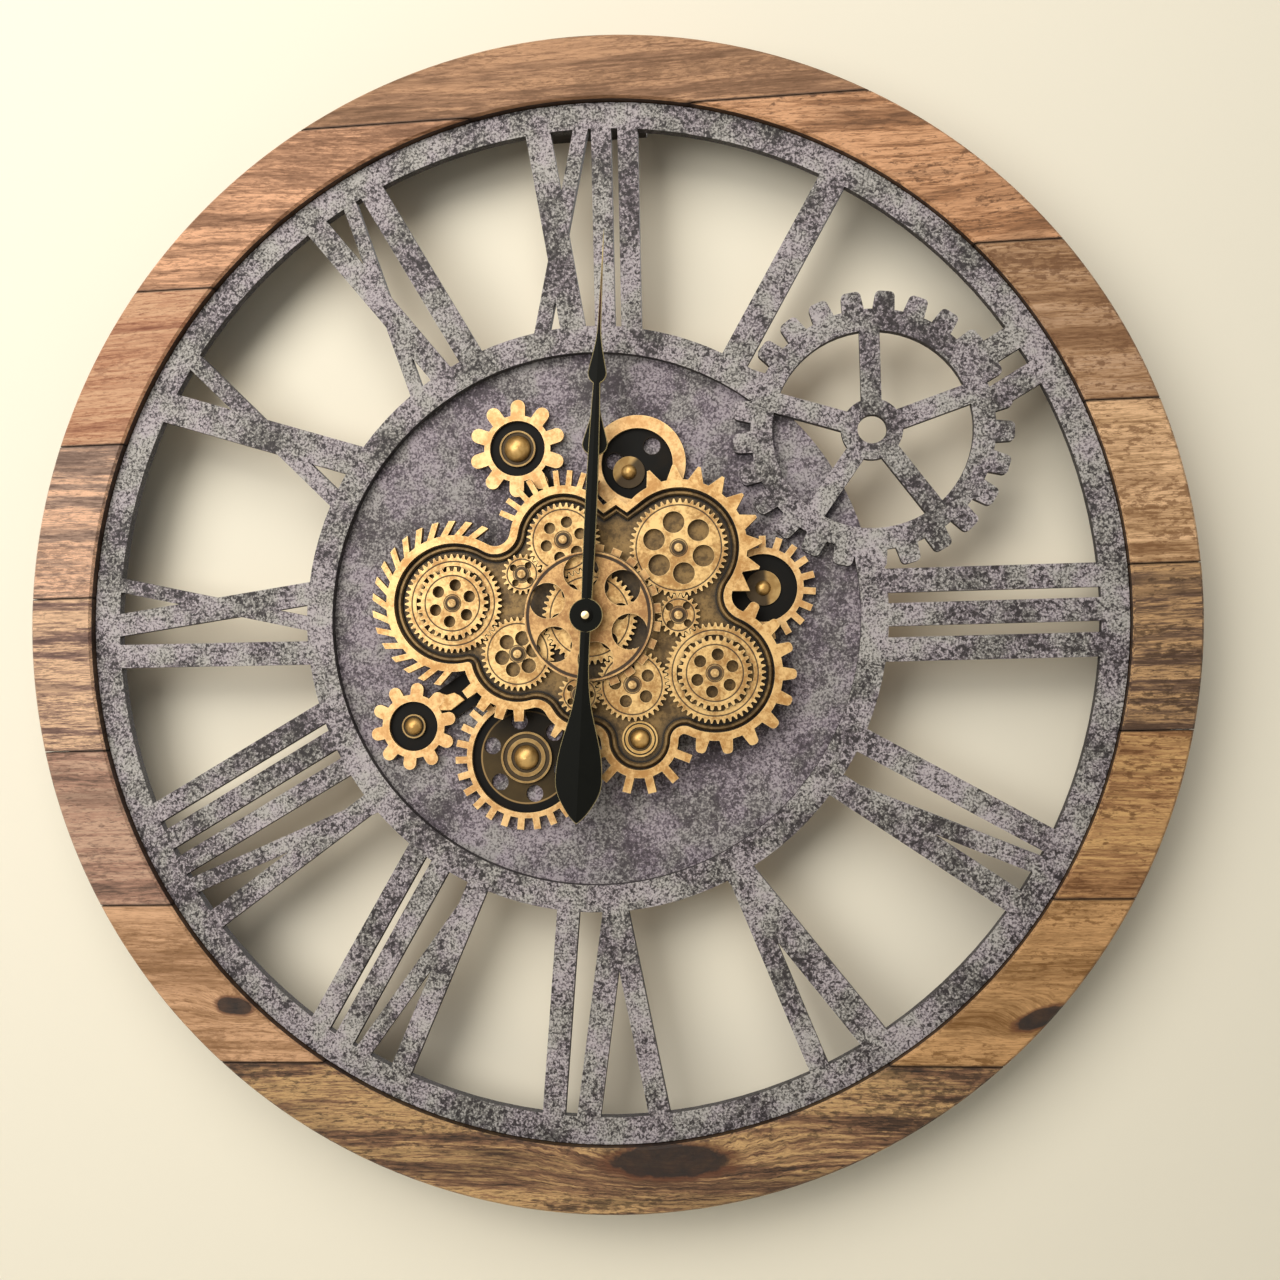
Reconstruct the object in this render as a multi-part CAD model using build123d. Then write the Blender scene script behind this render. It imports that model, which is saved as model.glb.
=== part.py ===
"""Wooden gear wall clock: plank rim, cut-out Roman dial and a moving gear train.

Drawn face-on: x to the right, y up, z out from the wall, with the hand arbor at x = y = 0.
put() turns the drawing so that the face looks along -Y and +Z is up, and moves the origin
from the arbor to the keyhole in the hanger plate, where the clock hangs on its screw.
"""
import os
from math import acos, atan2, cos, degrees, hypot, pi, radians, sin

from build123d import *

# Driving dimensions, mm
DIAL_DIAMETER = 533.0       # stone-finish dial plate inside the planks
RIM_WIDTH = 33.1            # wooden planks, from the dial to the outer edge
DISC_DIAMETER = 288.0       # centre disc behind the dial plate
RING_WIDTH = 13.5           # both rings of the dial plate
STROKE = 11.6               # thick stroke of a numeral
PLANK_THICK = 10.0
DIAL_THICK = 5.0
DISC_THICK = 6.0
DIAL_GEAR_RADIUS = 70.0     # big gear cut in the dial plate, at the tooth tips
MINUTE_REACH = 194.0        # arbor to the tip of the minute hand
HOUR_REACH = 122.0
HAND_SET = 4.0              # degrees past twelve shown by both hands
THREAD_RADIUS = 4.0         # movement's threaded tube
CELL_R = 7.1                # AA cell
CELL_LENGTH = 50.0
SCREW_R = 1.6               # all wood screws

# Fits
RUN = 0.05                  # radial running clearance
EASE = 0.3                  # gap between fixed pieces

# Depths from the wall; the cell sets the depth of the movement, and so of the backing ring
CASE_BACK = 1.0
DISC_BACK = CASE_BACK + 2 * CELL_R + 5.8
DISC_FRONT = DISC_BACK + DISC_THICK
BACK_THICK = DISC_FRONT
DIAL_BACK = BACK_THICK
RIM_FRONT = BACK_THICK + PLANK_THICK
BASE_TOP = DISC_FRONT + 2.0          # black base under the rim gears
RISER_TOP = BASE_TOP + 3.2           # the base's step under the golden floor
FLOOR = RISER_TOP + 1.8              # golden floor under the gears
FRAME_TOP = FLOOR + 4.2              # toothed frame round the floor
GEAR_Z = FLOOR + 0.8                 # underside of the gears
GEAR_THICK = 2.8
GEAR_TOP = GEAR_Z + GEAR_THICK
COARSE_THICK = 1.8                   # arc of coarse teeth under the centre wheel
WHEEL_Z = GEAR_TOP + 0.6 + COARSE_THICK
WHEEL_THICK = 2.2
NUT_Z = WHEEL_Z + WHEEL_THICK + EASE
NUT_THICK = 2.2
THREAD_END = NUT_Z + NUT_THICK + 0.6
HOUR_Z = THREAD_END + 0.4
HAND_THICK = 1.8
MINUTE_Z = HOUR_Z + HAND_THICK + 1.4
CLUSTER_TOP = MINUTE_Z + 10.0        # beyond everything that a bore has to cut

# Radii that follow from the sizes above
DIAL_R = DIAL_DIAMETER / 2
DISC_R = DISC_DIAMETER / 2
MODULE = DISC_R / 144                         # of the moving gears; the cluster is drawn in modules
DIAL_INNER_R = DIAL_R - RING_WIDTH            # outer ring's inner edge
HUB_RING_R = DISC_R + 0.45 * RING_WIDTH       # inner ring's outer edge
RIM_INNER_R = DIAL_R + 0.4
RIM_R = RIM_INNER_R + RIM_WIDTH
BACK_R = RIM_R - 8.0
PLANK_WIDTH = 0.3035 * RIM_INNER_R            # one board of the rim; eight rows at any size
LEDGE_R = DIAL_INNER_R + 4.0                  # backing ring's thin ledge, under the dial
RECESS_R = DIAL_R + 2.5                       # backing ring's full depth, out of sight from the front
HANGER_Y = BACK_R - 19.0


def polar(centre, radius, angle):
    return (centre[0] + radius * cos(radians(angle)), centre[1] + radius * sin(radians(angle)))


def slab(sketch, bottom, top):
    return Pos(0, 0, bottom) * extrude(sketch, top - bottom, dir=(0, 0, 1))


def disc(radius, bottom, top, centre=(0, 0)):
    return Pos(*centre, 0) * slab(Circle(radius), bottom, top)


def turned(points, centre=(0, 0)):
    """Solid of revolution from (radius, depth) points, on an axis through centre."""
    face = make_face(Polyline(*[(r, 0, z) for r, z in points], close=True))
    return Pos(*centre, 0) * revolve(face, Axis.Z)


# Wooden rim


def backing_ring():
    """Plywood ring under the boards, with a ledge for the dial and a block for the hanger."""
    ring = slab(Circle(BACK_R) - Circle(RECESS_R), 0, BACK_THICK)
    ring += slab(Circle(BACK_R) - Circle(LEDGE_R), DIAL_SCREW_SEAT, BACK_THICK)
    ring += Pos(0, HANGER_Y, 0) * slab(Rectangle(HANGER_LENGTH + 14, HANGER_WIDTH + 6), 0, BACK_THICK)
    for spot in dial_screw_spots():
        ring -= disc(SCREW_R, 0, BACK_THICK, spot)
    # Recess for the hanger plate, with a deeper pocket for the wall screw's head.
    recess = SlotOverall(HANGER_LENGTH + 0.4, HANGER_WIDTH + 0.4)
    ring -= Pos(0, HANGER_Y, 0) * slab(recess, 0, HANGER_THICK)
    pocket = SlotOverall(POCKET_LENGTH, POCKET_WIDTH, rotation=90)
    ring -= Pos(0, HANGER_Y + POCKET_RAISE, 0) * slab(pocket, 0, POCKET_DEPTH)
    for x in HANGER_SCREW_X:
        ring -= disc(SCREW_R, 0, POCKET_DEPTH, (x, HANGER_Y))
    return ring


def plank_joints():
    """Heights of the joints between boards, from the top, as far as the rim's opening reaches."""
    lines = [(0.22 + k) * PLANK_WIDTH for k in range(20, -20, -1)]
    return [y for y in lines if abs(y) < RIM_INNER_R - 4]


def planks():
    """The boards from top to bottom; the rows beside the dial have a left and a right piece."""
    rim = slab(Circle(RIM_R) - Circle(RIM_INNER_R), BACK_THICK, RIM_FRONT)
    rim = chamfer(rim.edges().group_by(Axis.Z)[-1], 1.2)
    gap = 0.5
    edges = [RIM_R + 1] + plank_joints() + [-RIM_R - 1]
    pieces = {}
    for row in range(len(edges) - 1):
        high, low = edges[row] - gap / 2, edges[row + 1] + gap / 2
        board = Box(2 * RIM_R + 2, high - low, 2 * PLANK_THICK)
        cut = rim & Pos(0, (high + low) / 2, BACK_THICK + PLANK_THICK / 2) * board
        if row == 0:
            pieces["plank_top"] = cut
        elif row == len(edges) - 2:
            pieces["plank_bottom"] = cut
        else:
            left, right = cut.solids().sort_by(Axis.X)
            pieces[f"plank_left_{row}"] = left
            pieces[f"plank_right_{row}"] = right
    return pieces


# Hanger

HANGER_LENGTH = 50.0
HANGER_WIDTH = 20.0
HANGER_THICK = 1.6
HANGER_SCREW_X = (-18.0, 18.0)
KEYHOLE_R = 4.5
KEYHOLE_RISE = 4.0                            # from the hole to the middle of its slot
POCKET_LENGTH = 26.0                          # room behind the plate for the wall screw's head
POCKET_WIDTH = 14.0
POCKET_RAISE = 2.0
POCKET_DEPTH = 12.0
SHANK_R = SCREW_R - RUN
HEAD_R = 2 * SCREW_R
HEAD_RISE = 2.0
DIAL_SCREW_SEAT = BACK_THICK - 5.0            # back of the ledge
SCREW_END = DIAL_BACK + 0.66 * DIAL_THICK     # blind end of the holes in the dial plate


def hanger_plate():
    plate = SlotOverall(HANGER_LENGTH, HANGER_WIDTH) - Circle(KEYHOLE_R)
    plate -= Pos(0, KEYHOLE_RISE) * SlotOverall(11, 4.4, rotation=90)
    body = Pos(0, HANGER_Y, 0) * slab(plate, 0, HANGER_THICK)
    sink = [(0, 0), (HEAD_R + 0.05, 0), (SCREW_R + 0.2, HANGER_THICK), (0, HANGER_THICK)]
    for x in HANGER_SCREW_X:
        body -= turned(sink, (x, HANGER_Y))
    return body


def pan_screw(seat, end, centre):
    """Screw with its head on the wall side of its seat and its tip short of the hole's end."""
    profile = [(0, seat - HEAD_RISE), (0.8 * HEAD_R, seat - HEAD_RISE), (HEAD_R, seat),
               (SHANK_R, seat), (SHANK_R, end - 0.2), (0, end - 0.2)]
    return turned(profile, centre)


def hanger_screws():
    flat = [(0, 0.2), (HEAD_R - 0.3, 0.2), (SHANK_R, HANGER_THICK), (SHANK_R, 10), (0, 10)]
    return [turned(flat, (x, HANGER_Y)) for x in HANGER_SCREW_X]


def dial_screw_spots():
    ledge = (DIAL_R + LEDGE_R) / 2
    return [polar((0, 0), ledge, 15 + 45 * k) for k in range(8)]


def dial_screws():
    return [pan_screw(DIAL_SCREW_SEAT, SCREW_END, spot) for spot in dial_screw_spots()]


def disc_screw_spots():
    return [polar((0, 0), DISC_R - 4, 75 + 60 * k) for k in range(6)]


def disc_screws():
    return [pan_screw(DISC_BACK, SCREW_END, spot) for spot in disc_screw_spots()]


# Dial plate

INNER_EDGE_R = HUB_RING_R - RING_WIDTH
# Bars of the twelve numerals, from twelve o'clock on: offsets from the numeral's own axis at the
# outer and at the inner ring, and width, in strokes. They differ from hour to hour, as in the photo.
NUMERALS = (
    ((-1.92, -0.53, 1.13), (0.02, -1.89, 0.67), (0.94, 0.92, 0.89), (2.13, 2.10, 0.89)),
    ((0.19, 0.17, 1.22),),
    ((-0.67, -0.67, 1.08), (1.13, 1.13, 1.03)),
    ((-1.17, -1.19, 1.03), (0.29, 0.28, 0.99), (1.79, 1.78, 1.04)),
    ((-0.98, -0.93, 1.05), (0.16, 1.33, 0.79), (2.01, 1.29, 1.06)),
    ((-1.03, 0.23, 1.27), (1.68, 0.36, 0.88)),
    ((-2.52, -0.88, 0.94), (0.61, -0.72, 1.03), (2.16, 1.32, 0.99)),
    ((-2.17, -1.26, 0.95), (-0.26, -1.37, 0.71), (0.75, 0.65, 0.91), (2.03, 1.89, 0.94)),
    ((-2.70, -1.88, 0.90), (-0.84, -2.02, 0.72), (0.20, 0.10, 0.87), (1.52, 1.44, 0.91), (2.86, 2.73, 0.91)),
    ((-1.17, -1.24, 1.06), (0.26, 1.43, 1.02), (2.12, 0.10, 0.66)),
    ((-0.83, 1.09, 1.41), (1.57, -0.83, 0.79)),
    ((-1.51, -0.12, 1.06), (0.31, -1.46, 0.64), (1.48, 1.43, 1.11)),
)
DIAL_GEAR_TEETH = 25
DIAL_GEAR_ANGLE = 32.0
RIM_GEAR_CLEAR = 0.2        # between the dial's gear and the rim gear on its side


def stroke(top, bottom, width):
    """Slanting bar that ends within both rings."""
    high, low, half = DIAL_INNER_R, HUB_RING_R, width / 2
    over = 0.3 * RING_WIDTH
    lean = (top - bottom) / (high - low) * over
    top, bottom, high, low = top + lean, bottom - lean, high + over, low - over
    return make_face(Polyline((top - half, high), (top + half, high), (bottom + half, low),
                              (bottom - half, low), close=True))


def numeral(bars, hour):
    return [Rot(0, 0, -30 * hour) * stroke(*[STROKE * share for share in bar]) for bar in bars]


def dial_gear_place():
    """Centre of the big gear: out along its ray until its teeth clear the rim gear on the right."""
    x, y = rim_spot("right")
    along = x * cos(radians(DIAL_GEAR_ANGLE)) + y * sin(radians(DIAL_GEAR_ANGLE))
    aside = x * sin(radians(DIAL_GEAR_ANGLE)) - y * cos(radians(DIAL_GEAR_ANGLE))
    reach = DIAL_GEAR_RADIUS + RIM_TIP["right"] * MODULE + RIM_GEAR_CLEAR
    return polar((0, 0), along + (reach ** 2 - aside ** 2) ** 0.5, DIAL_GEAR_ANGLE)


def dial_gear():
    """The big gear in the place of the two: rounded teeth, five spokes and a pierced hub."""
    tip, root, rim = DIAL_GEAR_RADIUS, 0.87 * DIAL_GEAR_RADIUS, 0.715 * DIAL_GEAR_RADIUS
    hub, pitch = 0.22 * DIAL_GEAR_RADIUS, 2 * pi * root / DIAL_GEAR_TEETH
    wheel = Circle(root) - Circle(rim)
    foot, head = 0.38 * pitch, 0.31 * pitch
    tooth = make_face(Polyline((root - 4, -foot), (tip, -head), (tip, head), (root - 4, foot), close=True))
    tooth = fillet(tooth.vertices().sort_by(Axis.X)[-2:], 0.55 * head)
    spoke = Pos((rim + hub) / 2, 0) * Rectangle(rim - hub + 6, 0.145 * DIAL_GEAR_RADIUS)
    wheel += [Rot(0, 0, 83 + 360 / DIAL_GEAR_TEETH * k) * tooth for k in range(DIAL_GEAR_TEETH)]
    wheel += [Rot(0, 0, 90 + 72 * k) * spoke for k in range(5)]
    wheel += Circle(hub)
    return wheel - Circle(0.475 * hub)


def dial_plate():
    face = Circle(DIAL_R) - Circle(DIAL_INNER_R)
    strokes = [s for hour, bars in enumerate(NUMERALS) for s in numeral(bars, hour)]
    face += [Circle(HUB_RING_R) - Circle(INNER_EDGE_R)] + strokes
    face -= Pos(*dial_gear_place()) * Circle(0.8 * DIAL_GEAR_RADIUS)
    face += Pos(*dial_gear_place()) * dial_gear()
    plate = slab(face & Circle(DIAL_R), DIAL_BACK, DIAL_BACK + DIAL_THICK)
    for spot in dial_screw_spots() + disc_screw_spots():
        plate -= disc(SCREW_R, DIAL_BACK, SCREW_END, spot)
    return plate


def center_disc():
    plate = slab(Circle(DISC_R) - Circle(THREAD_RADIUS + EASE), DISC_BACK, DISC_FRONT)
    plate -= disc(DRIVE_SHAFT_R + 0.8, 0, DISC_FRONT, PLACE["lower_right"])
    for spot in disc_screw_spots():
        plate -= disc(SCREW_R, DISC_BACK, DISC_FRONT, spot)
    for spot in DRIVE_SCREW_SPOTS:
        plate -= disc(SCREW_R, DISC_BACK, DRIVE_SCREW_END, spot)
    return plate


# Gear train: tooth counts and, for each gear, the one it meshes with and the line of centres

TEETH = {"center": 47, "lower_left": 36, "left": 49, "top": 36, "upper_left": 19,
         "lower": 35, "lower_right": 49, "right": 20, "upper_right": 48, "bottom": 20}
MESH = {"lower_left": ("center", 205.7), "left": ("lower_left", 141.0),
        "top": ("center", 107.8), "upper_left": ("top", 217.8),
        "lower": ("center", -59.0), "lower_right": ("lower", 6.7),
        "right": ("lower_right", 120.6), "upper_right": ("right", 88.5),
        "bottom": ("lower", 189.0)}
PLACE = {"center": (0.0, 0.0)}
PHASE = {"center": 0.0}
for name, (mate, line) in MESH.items():
    distance = MODULE * (TEETH[mate] + TEETH[name]) / 2
    PLACE[name] = polar(PLACE[mate], distance, line)
    # A tooth of one stands in a gap of the other on the line of centres.
    PHASE[name] = line + 180 + (180 - TEETH[mate] * (PHASE[mate] - line)) / TEETH[name]

AXLE_R = 2.0 * MODULE
DRIVE_SHAFT_R = 1.5 * MODULE
HUB_WALL = 1.7 * MODULE
HUB_RISE = 0.5              # hub above the gear's face
STEP_RISE = 1.8             # upper wheel of a compound gear
HEAD_CLEAR = 0.2            # between a hub and the pin's head


def pitch_radius(name):
    return MODULE * TEETH[name] / 2


def toothed(teeth, tip, root, tip_share, root_share, phase):
    """Wheel outline with straight-flanked teeth; the shares are parts of one tooth pitch."""
    corners = ((root, -root_share), (tip, -tip_share), (tip, tip_share), (root, root_share))
    points = []
    for k in range(teeth):
        for radius, share in corners:
            points.append(polar((0, 0), radius, phase + (k + share / 2) * 360 / teeth))
    return make_face(Polyline(*points, close=True))


def gear_outline(name):
    radius = pitch_radius(name)
    return toothed(TEETH[name], radius + 0.9 * MODULE, radius - 1.15 * MODULE, 0.2, 0.66, PHASE[name])


def hole_ring(count, circle, radius, phase=0.0):
    return [Pos(*polar((0, 0), circle, phase + 360 / count * k)) * Circle(radius) for k in range(count)]


def gear(name, holes, hole_circle, hole_radius, bore, phase=0.0):
    """Flat gear with lightening holes and a low hub, sized by its pitch radius."""
    size = pitch_radius(name)
    face = gear_outline(name) - hole_ring(holes, hole_circle * size, hole_radius * size, phase)
    body = slab(face, GEAR_Z, GEAR_TOP) + disc(AXLE_R + HUB_WALL, GEAR_Z, GEAR_TOP + HUB_RISE)
    return body - disc(bore, 0, CLUSTER_TOP)


def compound_gear(name, bore):
    """Gear with four arc windows that carries a smaller toothed wheel with six holes."""
    size = pitch_radius(name)
    wedge = Triangle(a=2 * size, b=2 * size, C=40, align=None)
    windows = Circle(0.79 * size) - Circle(0.6 * size)
    windows &= Sketch() + [Rot(0, 0, 20 + 90 * k) * wedge for k in range(4)]
    small = toothed(30, 0.76 * size, 0.67 * size, 0.3, 0.6, 0)
    body = slab(gear_outline(name) - windows, GEAR_Z, GEAR_TOP) + slab(small, GEAR_TOP, GEAR_TOP + STEP_RISE)
    body += disc(AXLE_R + HUB_WALL, GEAR_Z, GEAR_TOP + STEP_RISE + HUB_RISE)
    for k in range(6):
        body -= disc(0.125 * size, 0, CLUSTER_TOP, polar((0, 0), 0.385 * size, 20 + 60 * k))
    return body - disc(bore, 0, CLUSTER_TOP)


def moving_gears():
    bore = AXLE_R + RUN
    shapes = {
        "left": compound_gear("left", bore),
        "top": gear("top", 6, 0.51, 0.165, bore, 18),
        "upper_right": gear("upper_right", 6, 0.55, 0.23, bore, 40),
        "upper_left": gear("upper_left", 4, 0.58, 0.19, bore, 52),
        "lower_left": gear("lower_left", 6, 0.46, 0.21, bore, 12),
        "right": gear("right", 4, 0.62, 0.2, bore, 47),
        "lower_right": compound_gear("lower_right", DRIVE_SHAFT_R + 0.02),
        "lower": gear("lower", 5, 0.51, 0.18, bore, 30),
        "bottom": gear("bottom", 5, 0.58, 0.17, bore),
    }
    return {name: Pos(*PLACE[name], 0) * shape for name, shape in shapes.items()}


BUSH_R = THREAD_RADIUS + 2.0
CENTRE_HUB_R = BUSH_R + 3.5


def center_gear():
    """Fine gear under the centre wheel; its hub carries the wheel."""
    size = pitch_radius("center")
    face = gear_outline("center") - hole_ring(6, 0.68 * size, 0.18 * size, 68)
    body = slab(face, GEAR_Z, GEAR_TOP) + disc(CENTRE_HUB_R, GEAR_Z, WHEEL_Z)
    return body - disc(BUSH_R + RUN, 0, CLUSTER_TOP)


def center_wheel():
    """Large pierced wheel with an arc of coarse teeth under the right half of its rim."""
    radius = 1.39 * pitch_radius("center")
    holes = hole_ring(6, 0.685 * radius, 0.277 * radius, 38)
    wheel = slab(Circle(radius) - holes, WHEEL_Z, WHEEL_Z + WHEEL_THICK)
    arc = Circle(1.02 * radius) - Circle(0.965 * radius)
    half = Pos(radius, 0) * Rectangle(2 * radius, 4 * radius)
    tooth = Pos(1.06 * radius, 0) * Rectangle(0.13 * radius, 0.15 * radius)
    coarse = (arc & half) + [Rot(0, 0, 5 + 15 * k) * tooth for k in range(-5, 6)]
    wheel += slab(coarse, WHEEL_Z - COARSE_THICK, WHEEL_Z)
    return wheel - disc(BUSH_R + RUN, 0, CLUSTER_TOP)


def pin_head(seat):
    """Outline of a pin's head above its seat, from the rim to the axis."""
    return [(AXLE_R + 0.7, seat), (AXLE_R + 0.4, seat + 0.8), (0, seat + 1.0)]


def axle_pins():
    """Shouldered pins on the floor: the gear runs between the shoulder and the head."""
    pins = []
    for name in MESH:
        if name == "lower_right":
            continue
        seat = GEAR_TOP + HUB_RISE + HEAD_CLEAR + (STEP_RISE if name == "left" else 0)
        shoulder, ledge = AXLE_R + 1.2, GEAR_Z - HEAD_CLEAR
        profile = [(0, FLOOR), (shoulder, FLOOR), (shoulder, ledge), (AXLE_R, ledge), (AXLE_R, seat)]
        pins.append(turned(profile + pin_head(seat), PLACE[name]))
    return pins


# Toothed frame: lobes round the outer gears, anticlockwise, as centre, radius and link radius.
# The link is the hollow arc that leads on to the next lobe.

LOBE_GAP = 5.6 * MODULE
BOLT_PLACE = polar(PLACE["lower"], 27.6 * MODULE, -84)


def tip_radius(name):
    return pitch_radius(name) + 0.9 * MODULE


LOBES = [
    (PLACE["upper_right"], tip_radius("upper_right") + LOBE_GAP, 20.0 * MODULE),
    (PLACE["top"], tip_radius("top") + 0.85 * LOBE_GAP, 12.0 * MODULE),
    (PLACE["left"], tip_radius("left") + LOBE_GAP, 2.0 * MODULE),
    (PLACE["lower_left"], tip_radius("lower_left") + LOBE_GAP, 10.0 * MODULE),
    (PLACE["bottom"], tip_radius("bottom") + 0.85 * LOBE_GAP, 9.0 * MODULE),
    (BOLT_PLACE, 15.6 * MODULE, 7.0 * MODULE),
    (PLACE["lower_right"], tip_radius("lower_right") + 0.8 * LOBE_GAP, 12.0 * MODULE),
]
BAND = 4.0 * MODULE         # frame's width between the floor's edge and the tooth roots
ZIGZAG = ((5.5, -1.0), (0.0, 3.0), (-6.5, -1.0))


def link_arc(index, offset):
    """Arc of the hollow link after a lobe: its start, middle and end."""
    (c1, r1, link), (c2, r2, _) = LOBES[index], LOBES[(index + 1) % len(LOBES)]
    fillet_r = max(link - offset, 0.0)
    reach1, reach2 = r1 + offset + fillet_r, r2 + offset + fillet_r
    span = hypot(c2[0] - c1[0], c2[1] - c1[1])
    along = (reach1 ** 2 - reach2 ** 2 + span ** 2) / (2 * span)
    swing = degrees(acos(along / reach1))
    centre = polar(c1, reach1, degrees(atan2(c2[1] - c1[1], c2[0] - c1[0])) - swing)
    start = polar(c1, r1 + offset, degrees(atan2(centre[1] - c1[1], centre[0] - c1[0])))
    end = polar(c2, r2 + offset, degrees(atan2(centre[1] - c2[1], centre[0] - c2[0])))
    chord = ((start[0] + end[0]) / 2, (start[1] + end[1]) / 2)
    middle = polar(centre, fillet_r, degrees(atan2(chord[1] - centre[1], chord[0] - centre[0])))
    return start, middle, end


def lobe_sweep(index, offset):
    """Angles where a lobe's own arc starts and ends, anticlockwise."""
    centre = LOBES[index][0]
    first = link_arc(index - 1, offset)[2]
    last = link_arc(index, offset)[0]
    start = degrees(atan2(first[1] - centre[1], first[0] - centre[0]))
    end = degrees(atan2(last[1] - centre[1], last[0] - centre[0]))
    return start, start + (end - start) % 360


def zigzag_link(offset):
    """The first link has two downward points in the place of its arc."""
    start, middle, end = link_arc(0, offset)
    corners = [(middle[0] + x * MODULE, middle[1] + y * MODULE) for x, y in ZIGZAG]
    return Polyline(start, *corners, end)


def lobed(offset):
    """Face inside the outline round all lobes, moved outwards by offset."""
    edges = []
    for index, (centre, radius, link) in enumerate(LOBES):
        start, end = lobe_sweep(index, offset)
        sweep = (start, (start + end) / 2, end)
        edges.append(ThreePointArc(*[polar(centre, radius + offset, a) for a in sweep]))
        if index == 0:
            edges += zigzag_link(offset).edges()
        elif link > offset:
            edges.append(ThreePointArc(*link_arc(index, offset)))
    return make_face(edges)


def lobe_teeth(index, per_turn, phase, height, base, tip, lean=0.0, rounded=False):
    """Teeth along one lobe; base and tip are widths in modules, lean is the tip's lag in degrees."""
    centre, radius, _ = LOBES[index]
    root = radius + BAND
    start, end = lobe_sweep(index, BAND)
    pitch = 360 / per_turn
    teeth = []
    for k in range(-per_turn, per_turn):
        angle = phase + k * pitch
        if not start + 0.35 * pitch < angle < end - 0.35 * pitch:
            continue
        low, high = polar(centre, root - MODULE, angle), polar(centre, root + height * MODULE, angle - lean)
        foot, head = base * MODULE / 2, tip * MODULE / 2
        corners = [polar(low, foot, angle + 90), polar(low, foot, angle - 90),
                   polar(high, head, angle - lean - 90), polar(high, head, angle - lean + 90)]
        face = make_face(Polyline(*corners, close=True))
        if rounded:
            face = fillet(face.vertices().sort_by_distance(centre)[-2:], 0.9 * head)
        teeth.append(face)
    return teeth


def gear_frame():
    """Golden frame: each lobe has its own kind of teeth."""
    teeth = lobe_teeth(0, 20, 92, 7.4, 8.6, 1.4)
    teeth += lobe_teeth(1, 30, 95, 7.8, 2.9, 2.7)
    teeth += lobe_teeth(2, 30, 98, 7.4, 3.8, 3.4, lean=8.5)
    teeth += lobe_teeth(3, 20, -90, 5.8, 5.6, 4.6)
    teeth += lobe_teeth(4, 16, -124, 5.6, 4.6, 2.6)
    teeth += lobe_teeth(5, 13, -77.6, 8.0, 4.2, 4.2)
    teeth += lobe_teeth(6, 18, -2, 6.8, 7.0, 4.6, rounded=True)
    face = (lobed(BAND) + teeth) - lobed(0)
    return slab(face, FLOOR, FRAME_TOP)


def gear_field():
    """Floor under the gears with a bevelled bead that follows the frame's inner edge."""
    floor = slab(lobed(BAND - MODULE), RISER_TOP, FLOOR)
    bead = slab(lobed(-1.0 * MODULE) - lobed(-3.6 * MODULE), FLOOR, FLOOR + 1.9)
    floor += chamfer(bead.edges().group_by(Axis.Z)[-1], 0.8 * MODULE)
    floor -= disc(THREAD_RADIUS + EASE, 0, CLUSTER_TOP)
    return floor - disc(DRIVE_SHAFT_R + 0.8, 0, CLUSTER_TOP, PLACE["lower_right"])


# Fixed rim gears round the frame, and the domes that hold them; places and radii in modules

RIM_PLACE = {"top_left": (-36.6, 88.4), "top": (25.4, 77.9), "right": (87.9, 12.2),
             "bottom_left": (-94.3, -53.9), "bottom": (-35.4, -71.1)}
RIM_RING = {"top_left": (17.3, 14.4), "top": (25.0, 18.4), "right": (20.4, 17.2),
            "bottom_left": (16.4, 12.8), "bottom": (31.0, 28.3)}
RIM_TIP = {"top_left": 25.2, "right": 26.4, "bottom_left": 22.5, "bottom": 36.9}


def rim_spot(name):
    x, y = RIM_PLACE[name]
    return x * MODULE, y * MODULE


def rim_teeth(name, teeth, phase, width, rounded):
    """Teeth of a rim gear, round-ended or square, long enough to reach into the ring."""
    tip = RIM_TIP[name]
    blank = SlotOverall(2 * width, width) if rounded else Rectangle(2 * width, width)
    return [Rot(0, 0, phase + 360 / teeth * k) * Pos(tip - width, 0) * blank for k in range(teeth)]


def rim_gears():
    teeth = {
        "top_left": rim_teeth("top_left", 10, 88, 7.4, True),
        "top": [],
        "right": rim_teeth("right", 19, 13.6, 3.4, False),
        "bottom_left": rim_teeth("bottom_left", 10, 83, 6.6, True),
        "bottom": rim_teeth("bottom", 26, -137.3, 3.5, False),
    }
    clear = lobed(BAND + EASE)
    pieces = {}
    for name, (root, inner) in RIM_RING.items():
        face = scale(Circle(root) + teeth[name] - Circle(inner), MODULE)
        whole = Pos(*rim_spot(name)) * face - clear
        # The frame's base interrupts the ring, and the outer piece stays.
        pieces[name] = slab(whole.faces().sort_by(SortBy.AREA)[-1], BASE_TOP, BASE_TOP + 2.4)
    return pieces


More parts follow.
